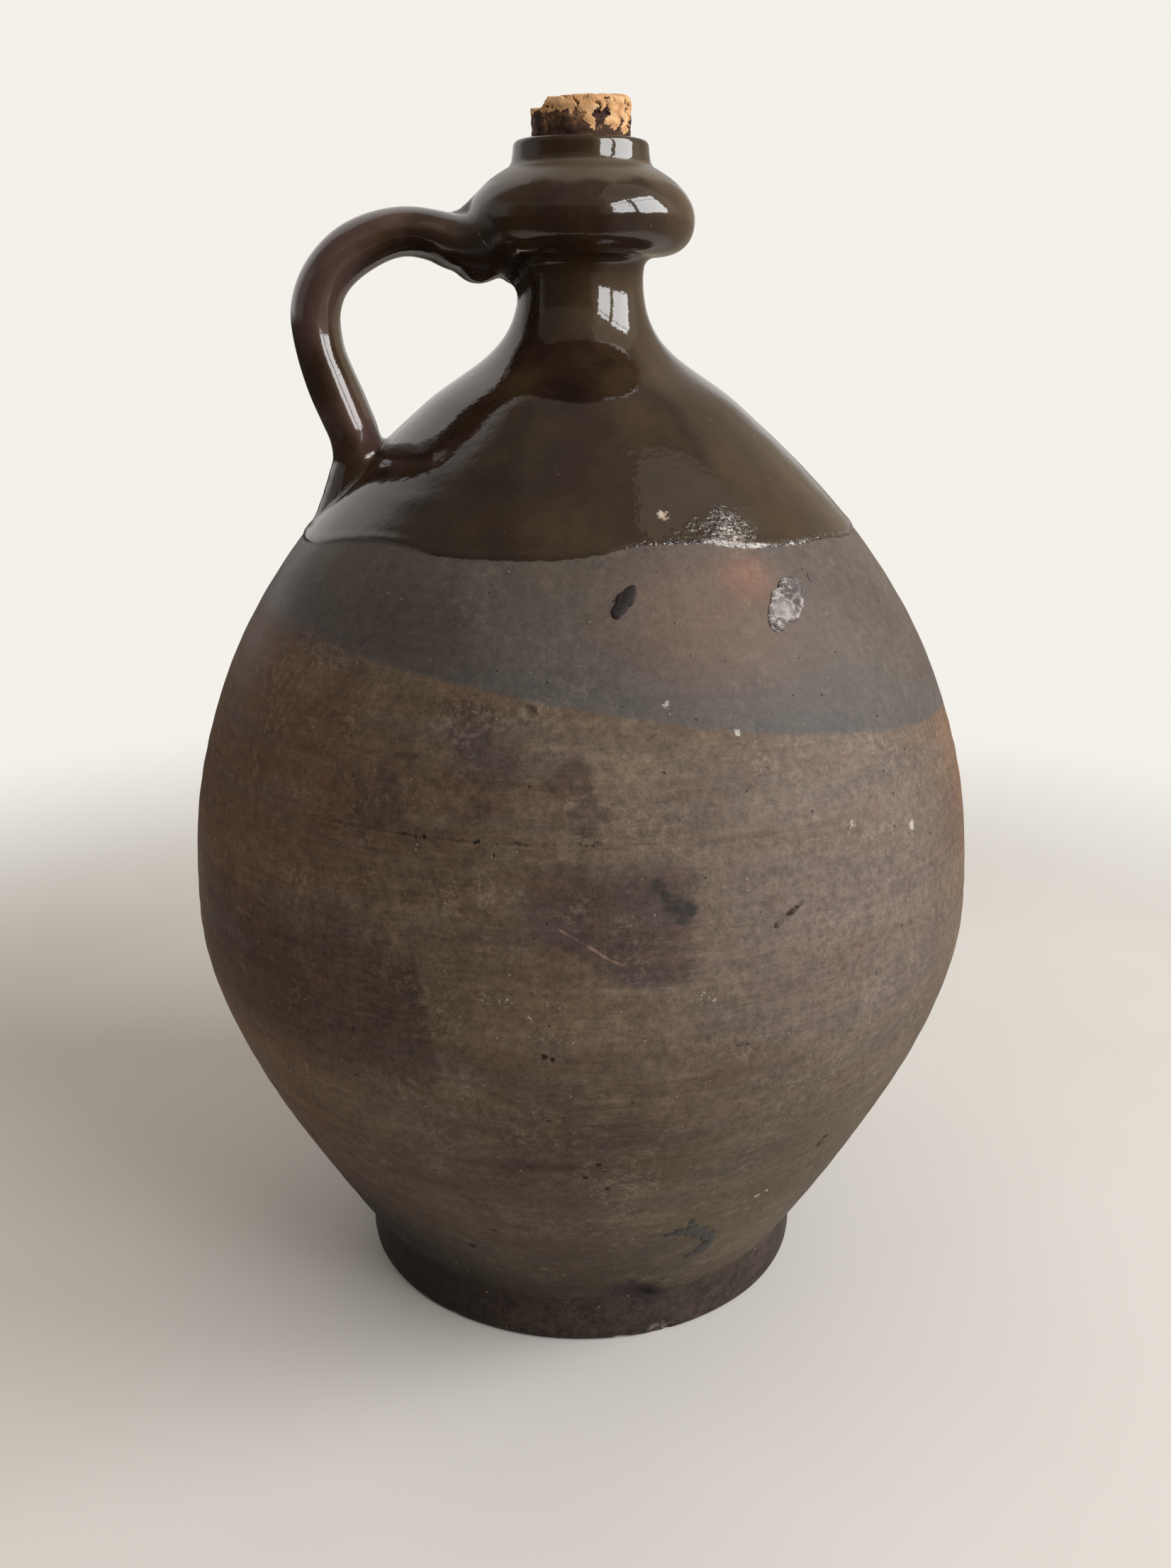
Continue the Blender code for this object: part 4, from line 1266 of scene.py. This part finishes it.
# Marks on the cork's near side, in millimetres to the right of its middle and below its top.
# The dark stain's edge:
CORK_STAIN = ((-24, 60), (-24, 5.2), (-19, 5.0), (-17.5, 6.4), (-15.5, 5.0), (-14.1, 6.2), (-13.2, 6.4),
              (-9.6, 5.6), (-7.0, 5.9), (-4.8, 5.4), (-4.1, 6.6), (-2.8, 6.8), (-1.7, 5.2), (0.9, 6.3),
              (1.8, 7.2), (1.2, 9.2), (2.7, 10.6), (4.4, 12.4), (6.0, 11.2), (5.2, 9.6), (4.4, 8.0),
              (4.9, 6.4), (6.2, 5.2), (8.0, 5.8), (9.4, 5.0), (9.9, 3.4), (10.5, 4.8), (10.2, 6.9),
              (8.9, 8.4), (8.9, 10.4), (10.0, 10.0), (11.0, 12.0), (12.4, 11.2), (13.0, 12.2), (13.9, 10.4),
              (14.6, 8.0), (14.2, 5.4), (14.9, 6.6), (15.4, 8.6), (15.0, 11.0), (15.6, 12.8), (16.9, 11.6),
              (18.4, 9.2), (24, 9.6), (24, 60))
# Cracks and holes, each with its width:
CORK_CRACKS = (
    (((-2.6, 1.1), (-1.8, 2.4), (-1.6, 3.6), (-1.7, 5.1)), 0.6),
    (((6.2, 3.4), (6.8, 4.2), (7.0, 5.6)), 1.1),
    (((-7.9, 0.8), (-5.7, 1.0)), 0.6), (((9.3, 1.0), (9.6, 1.7)), 0.6), (((16.6, 2.2), (17.2, 3.2)), 1.3),
    (((16.7, 5.0), (17.6, 5.7)), 1.3), (((18.2, 7.4), (18.0, 11.0)), 1.0),
    (((-12.6, 3.4), (-12.2, 4.6)), 0.6))


def crack_depth(across, below, line, width):
    """1 in the middle of a crack, fading to 0 at half its width."""
    return 1 - smooth_step(line_gap(across, below, line), width * 0.0002, width * 0.0007)


def line_gap(across, below, line):
    """How far points lie from a line of marks."""
    far = np.full(len(across), 1.0)
    for (u0, v0), (u1, v1) in zip(line, line[1:]):
        run = np.array((u1 - u0, v1 - v0)) / 1000
        off = np.stack([across - u0 / 1000, below - v0 / 1000], axis=1)
        share = np.clip(off @ run / (run @ run), 0, 1)
        far = np.minimum(far, np.linalg.norm(off - share[:, None] * run, axis=1))
    return far


def stain_depth(across, below):
    """How deep points lie in the stain, negative outside it."""
    inside_it = np.zeros(len(across), bool)
    edge = np.array(CORK_STAIN) / 1000
    for (u0, v0), (u1, v1) in zip(edge, np.roll(edge, -1, axis=0)):
        spans = (v0 > below) != (v1 > below)
        crossing = u0 + (below - v0) / (v1 - v0 if v1 != v0 else 1e-9) * (u1 - u0)
        inside_it ^= spans & (across < crossing)
    return np.where(inside_it, 1, -1) * line_gap(across, below, CORK_STAIN + CORK_STAIN[:1])


def make_cork():
    """A tapered cork, cut a little askew, with its broken step, cracks and worn edge."""
    corner = CORK_TOP - 0.0032
    side = [(cork_radius(z), z) for z in np.linspace(CORK_BOTTOM + 0.0012, corner, 110)]
    edge = cubic((cork_radius(corner), corner), (cork_radius(CORK_TOP), CORK_TOP - 0.0010),
                 (CORK_RADIUS_HIGH - 0.0010, CORK_TOP - 0.0002),
                 (CORK_RADIUS_HIGH - 0.0034, CORK_TOP - 0.0001), 9)
    outline = [(0, CORK_BOTTOM), (0.012, CORK_BOTTOM), (CORK_RADIUS_LOW - 0.0012, CORK_BOTTOM)] + side
    outline += listed(edge)[1:] + [(r, CORK_TOP) for r in np.linspace(CORK_RADIUS_HIGH - 0.0042, 0, 24)]
    piece = turned("cork", outline, 280)
    points = points_of(piece)
    angle = angle_of(points) + VIEW_TURN
    z = points[:, 2]
    radius = np.hypot(points[:, 0], points[:, 1])
    across = radius * np.sin(angle)
    askew = 0.0015 * (0.22 - across / (2 * CORK_RADIUS_HIGH)) * np.clip((z - RIM) / (CORK_TOP - RIM), 0, 1)
    below = CORK_TOP - z + askew
    sway = 0.0005 * np.sin(1500 * below + 700 * across) + 0.0003 * np.sin(3900 * below - 2300 * across + 2)
    below = (below + 0.0004 * np.sin(1700 * across + 600 * below + 1)
             + 0.0003 * np.sin(4300 * across + 2900 * below))
    across = across + sway
    shown = smooth_step(z, RIM + 0.0004, RIM + 0.002)
    front = np.cos(angle) * radius > 0.002
    pits = np.zeros(len(points))
    for line, width in CORK_CRACKS:
        pits = np.maximum(pits, crack_depth(across, below, line, width) * front)
    fjord = smooth_step(stain_depth(across, below), -0.0002, 0.0004) * smooth_step(0.0088 - below, 0, 0.0016)
    pits = np.maximum(pits, fjord * smooth_step(across, 0.0030, 0.0044) * front * 0.8)
    spread = np.random.default_rng(5)
    for _ in range(60):
        where = spread.uniform(-math.pi, math.pi)
        tall = spread.uniform(RIM + 0.001, CORK_TOP + 0.004)
        wide = spread.uniform(0.0004, 0.0010)
        long = spread.uniform(0.0008, 0.0030)
        lean = spread.uniform(-0.8, 0.8)
        if math.cos(where + VIEW_TURN) > 0.1 and tall < CORK_TOP:
            continue
        reach = CORK_RADIUS_HIGH - max(0, tall - CORK_TOP) * 4
        spot = np.array((reach * math.sin(where), -reach * math.cos(where), min(tall, CORK_TOP)))
        away = points - spot
        along = np.array((math.cos(where) * lean, math.sin(where) * lean, 1.0))
        along /= np.linalg.norm(along)
        run = away @ along
        off = np.linalg.norm(away - run[:, None] * along, axis=1)
        pits = np.maximum(pits, np.exp(-(off / wide) ** 2 - (run / long) ** 2))
    bumps = (np.sin(9 * angle + 900 * z) * np.sin(5 * angle - 700 * z + 1) * 0.00025
             + np.sin(17 * angle + 400 * z + 2) * 0.00012)
    sink = shown * (pits * 0.0011 - bumps)
    flat_top = (z > CORK_TOP - 0.0015) & (radius < CORK_RADIUS_HIGH - 0.002)
    moved = stand_out(points, np.where(flat_top, 0, -sink))
    moved[:, 2] -= np.where(flat_top, sink, 0)
    step = smooth_step(-across + 0.0007 * np.sin(800 * points[:, 1]), 0.0118, 0.0130)
    floor = CORK_TOP - 0.0031 + 0.0005 * np.sin(700 * points[:, 1] + 1) + 0.0006 * np.sin(900 * across)
    floor -= 0.0012 * smooth_step(radius, CORK_RADIUS_HIGH - 0.0024, CORK_RADIUS_HIGH)
    sunk = moved[:, 2] * (1 - step) + np.minimum(moved[:, 2], floor) * step
    moved[:, 2] = np.where(z > floor, sunk, moved[:, 2])
    sides = 1 - np.clip(np.cos(angle), 0, 1) * radius / CORK_RADIUS_HIGH
    moved[:, 2] += 0.0012 * sides * smooth_step(z, RIM + 0.004, CORK_TOP) - askew
    move_to(piece, moved)
    level = 0.0075 + 0.0022 * np.sin(3 * angle) + 0.0012 * np.sin(7 * angle + 1)
    soaked = np.where(front, stain_depth(across, below), below - level)
    stain = smooth_step(soaked, -0.0005, 0.0005)
    for label, values in (("stain", stain), ("pit", pits * shown)):
        layer = piece.data.attributes.new(label, 'FLOAT', 'POINT')
        layer.data.foreach_set("value", np.ascontiguousarray(values, np.float32))
    set_down(piece, "cork", "cork", CORK, "cork_stopper")


make_foot()
make_lower_body()
make_upper_body()
make_neck()
make_collar()
make_lip()
make_handle()
make_wad()
make_drop("glaze_drip", ((8.9, 0.3137), (9.3, 0.3129), (8.8, 0.3099), (7.6, 0.3073), (6.7, 0.3053),
                         (5.7, 0.3035), (4.9, 0.3043), (4.7, 0.3058), (5.6, 0.3082), (7.0, 0.3116),
                         (8.1, 0.3133)), 0.0007, DARK_DROP)
make_drop("glaze_blister", ((39.1, 0.3125), (41.3, 0.3115), (41.8, 0.3087), (40.2, 0.3039), (38.1, 0.3009),
                            (34.9, 0.2994), (33.4, 0.2966), (32.0, 0.2962), (31.0, 0.2980), (31.5, 0.3023),
                            (32.8, 0.3054), (35.6, 0.3094)), 0.0014, CLEAR_DROP)
make_drop("glaze_spot", ((44.8, 0.3125), (45.2, 0.3112), (45.3, 0.3097), (44.6, 0.3095), (44.0, 0.3111),
                         (44.2, 0.3122)), 0.0003, FAINT_DROP)
make_drop("glaze_bead", ((19.0, 0.0760), (19.8, 0.0745), (19.6, 0.0725), (18.6, 0.0722), (18.2, 0.0745)),
          0.0006, OLD_SPLASH)
make_splash()
make_cork()


# Floor, light and camera


# The viewer's forward and right directions
AHEAD = Vector((math.sin(VIEW_TURN), math.cos(VIEW_TURN), 0))
ASIDE = Vector((math.cos(VIEW_TURN), -math.sin(VIEW_TURN), 0))


# Where the floor fades out: metres from the axis, and metres ahead of it, negative on the viewer's side
FLOOR_FADE = (0.42, 0.95)
FLOOR_NEAR = (-0.42, -0.24)


def make_floor():
    deselect()
    bpy.ops.mesh.primitive_plane_add(size=12, location=(0, 0, 0))
    floor = added("pale_floor")
    paint = Paint("pale_floor")
    cloud = paint.noise(3, 3)
    colour = paint.ramp(cloud, (0.3, (222, 218, 212)), (0.7, (230, 226, 221)))
    away = paint.vector('LENGTH', paint.place, output=1)
    ahead = paint.vector('DOT_PRODUCT', paint.place, AHEAD, output=1)
    shown = (1 - paint.step(away, *FLOOR_FADE)) * paint.step(ahead, *FLOOR_NEAR)
    surface = paint.layer(colour, 0.55 + cloud * 0.1, cloud * 0.001, 1.45, 0.3, Alpha=shown)
    floor.data.materials.append(paint.finish(surface))


WINDOW_AWAY = 1.5
WINDOW_FACES = math.radians(82) - VIEW_TURN
WINDOW_GLOW = 8.4
WINDOW_LOW = 0.40 + 0.19 * WINDOW_AWAY
WINDOW_HIGH = 0.40 + WINDOW_AWAY
WINDOW_BAR = WINDOW_LOW + 0.78 * (WINDOW_HIGH - WINDOW_LOW)
BAR_HALF = 0.02
# Left and right edges of the panes, in parts of the window's distance
WINDOW_PANES = ((-1.15, -0.53), (-0.42, 0.23))


def make_window():
    """Soft daylight from a window at the right, with a post and a bar between its four panes."""
    toward = Vector((math.sin(WINDOW_FACES), -math.cos(WINDOW_FACES), 0))
    along = Vector((math.cos(WINDOW_FACES), math.sin(WINDOW_FACES), 0))
    for left, right in WINDOW_PANES:
        for bottom, top in ((WINDOW_LOW, WINDOW_BAR - BAR_HALF), (WINDOW_BAR + BAR_HALF, WINDOW_HIGH)):
            width = (right - left) * WINDOW_AWAY
            tall = top - bottom
            middle = toward * WINDOW_AWAY + along * (left + right) / 2 * WINDOW_AWAY
            deselect()
            bpy.ops.object.light_add(type='AREA', location=(middle.x, middle.y, (bottom + top) / 2))
            pane = bpy.context.object
            pane.data.shape = 'RECTANGLE'
            pane.data.size = width
            pane.data.size_y = tall
            pane.data.energy = WINDOW_GLOW * math.pi * width * tall
            pane.data.color = (0.97, 0.985, 1.0)
            pane.rotation_euler = (math.radians(90), 0, WINDOW_FACES)


ROOM_DIM = (0.10, 0.078, 0.060, 1)
ROOM_WALL = (0.95, 0.94, 0.92, 1)
ROOM_CEILING = (0.42, 0.37, 0.30, 1)
ROOM_FLOOR = (0.44, 0.41, 0.37, 1)
BACKDROP = (0.905, 0.875, 0.825, 1)

# The room that the glaze mirrors, panel by panel: degrees round from straight behind the jug to the right,
# degrees up, brightness and tint
PALE = (1.0, 0.97, 0.93)
WARM = (1.0, 0.86, 0.68)
AMBER = (1.0, 0.81, 0.60)
CEILING_LEFT = ((-150, -45), (28, 72), 0.20, WARM)
LEFT_WALL = ((-105, -60), (-5, 32), 0.35, PALE)
BACK_WALL = ((-60, 24), (-5, 60), 0.80, PALE)
RIGHT_WALL = ((24, 160), (-5, 50), 0.52, AMBER)
WINDOW_REVEAL = ((67, 150), (8, 54), 0.90, WARM)
FRONT_WALL = 0.08
CEILING = 0.30
LIT_CEILING = 0.70
LOW_LEFT = 0.03
LOW_RIGHT = 0.35


def make_room_light():
    """A pale room: bright behind the jug and to the right, dim and warm on the viewer's side."""
    room = Paint("pale_room", world=True)
    bpy.context.scene.world = room.owner

    def towards(direction):
        return room.vector('DOT_PRODUCT', room.place, Vector(direction).normalized(), output=1)

    def facing(direction, start, end):
        """1 for light from a direction, fading to 0 away from it."""
        return room.step(towards(direction), start, end)

    def tone(brightness, tint=WARM):
        return tuple(brightness * part for part in tint) + (1,)

    def between(value, ends, soft):
        low, high = ends
        return room.within(value, low - soft, low + soft, high - soft, high + soft)

    def background(colour):
        return room.node('ShaderNodeBackground', None, {'Color': colour})

    def choose(ray, first, second):
        """The second light for one kind of ray, and the first for all others."""
        kind = room.node('ShaderNodeLightPath', output=ray)
        return room.node('ShaderNodeMixShader', None, {0: kind, 1: first, 2: second})

    turn = room.math('ARCTAN2', towards(ASIDE), towards(AHEAD)) * math.degrees(1)
    rise = room.math('ARCSINE', room.z) * math.degrees(1)
    walls = room.mix(facing((-0.25, 0.95, 0.1), -0.1, 0.65), ROOM_DIM, ROOM_WALL)
    light = room.mix(facing((0, 0, 1), 0.45, 0.95), walls, ROOM_CEILING)
    light = room.mix(facing((0, 0, -1), 0.05, 0.35), light, ROOM_FLOOR)
    mirrored = room.mix(room.step(rise, 22, 30), tone(FRONT_WALL), tone(CEILING))
    for turns, rises, brightness, tint in (CEILING_LEFT, LEFT_WALL, BACK_WALL, RIGHT_WALL, WINDOW_REVEAL):
        panel = between(turn, turns, 9) * between(rise, rises, 4)
        mirrored = room.mix(panel, mirrored, tone(brightness, tint))
    # The ceiling is lit on the window's side, with straight edges
    lit = room.step(rise, 48, 54) * room.step(towards(ASIDE) - room.z * 0.28, -0.015, 0.015)
    lit = lit * (1 - room.step(towards(AHEAD) - towards(ASIDE) * 0.78 + room.z * 0.18, -0.02, 0.04))
    mirrored = room.mix(lit, mirrored, tone(LIT_CEILING))
    low = room.mix(facing(ASIDE + AHEAD * 0.4, -0.1, 0.5), tone(LOW_LEFT), tone(LOW_RIGHT))
    mirrored = room.mix(room.step(rise, -2, 5), low, mirrored)
    lights = choose('Is Glossy Ray', background(light), background(mirrored))
    seen = choose('Is Camera Ray', lights, background(BACKDROP))
    room.node('ShaderNodeOutputWorld', None, {'Surface': seen})


# The viewer's place, 0.59 m from the axis at neck height, and the focal length in the picture's pixels
CAMERA_AWAY = 0.5930
CAMERA_HEIGHT = 0.398
CAMERA_PITCH = math.radians(17.745)
CAMERA_SWING = math.radians(0.168)
SENSOR = 36
FOCAL_PIXELS = 2050
PICTURE_PIXELS = 2212


def make_camera():
    place = (-CAMERA_AWAY * math.sin(VIEW_TURN), -CAMERA_AWAY * math.cos(VIEW_TURN), CAMERA_HEIGHT)
    deselect()
    bpy.ops.object.camera_add(location=place)
    camera = bpy.context.object
    camera.rotation_euler = (math.radians(90) - CAMERA_PITCH, 0, -VIEW_TURN - CAMERA_SWING)
    camera.data.sensor_width = SENSOR
    camera.data.lens = SENSOR * FOCAL_PIXELS / PICTURE_PIXELS
    camera.data.clip_start = 0.01
    bpy.context.scene.camera = camera


make_floor()
make_window()
make_room_light()
make_camera()
bpy.context.scene.view_settings.view_transform = 'Standard'
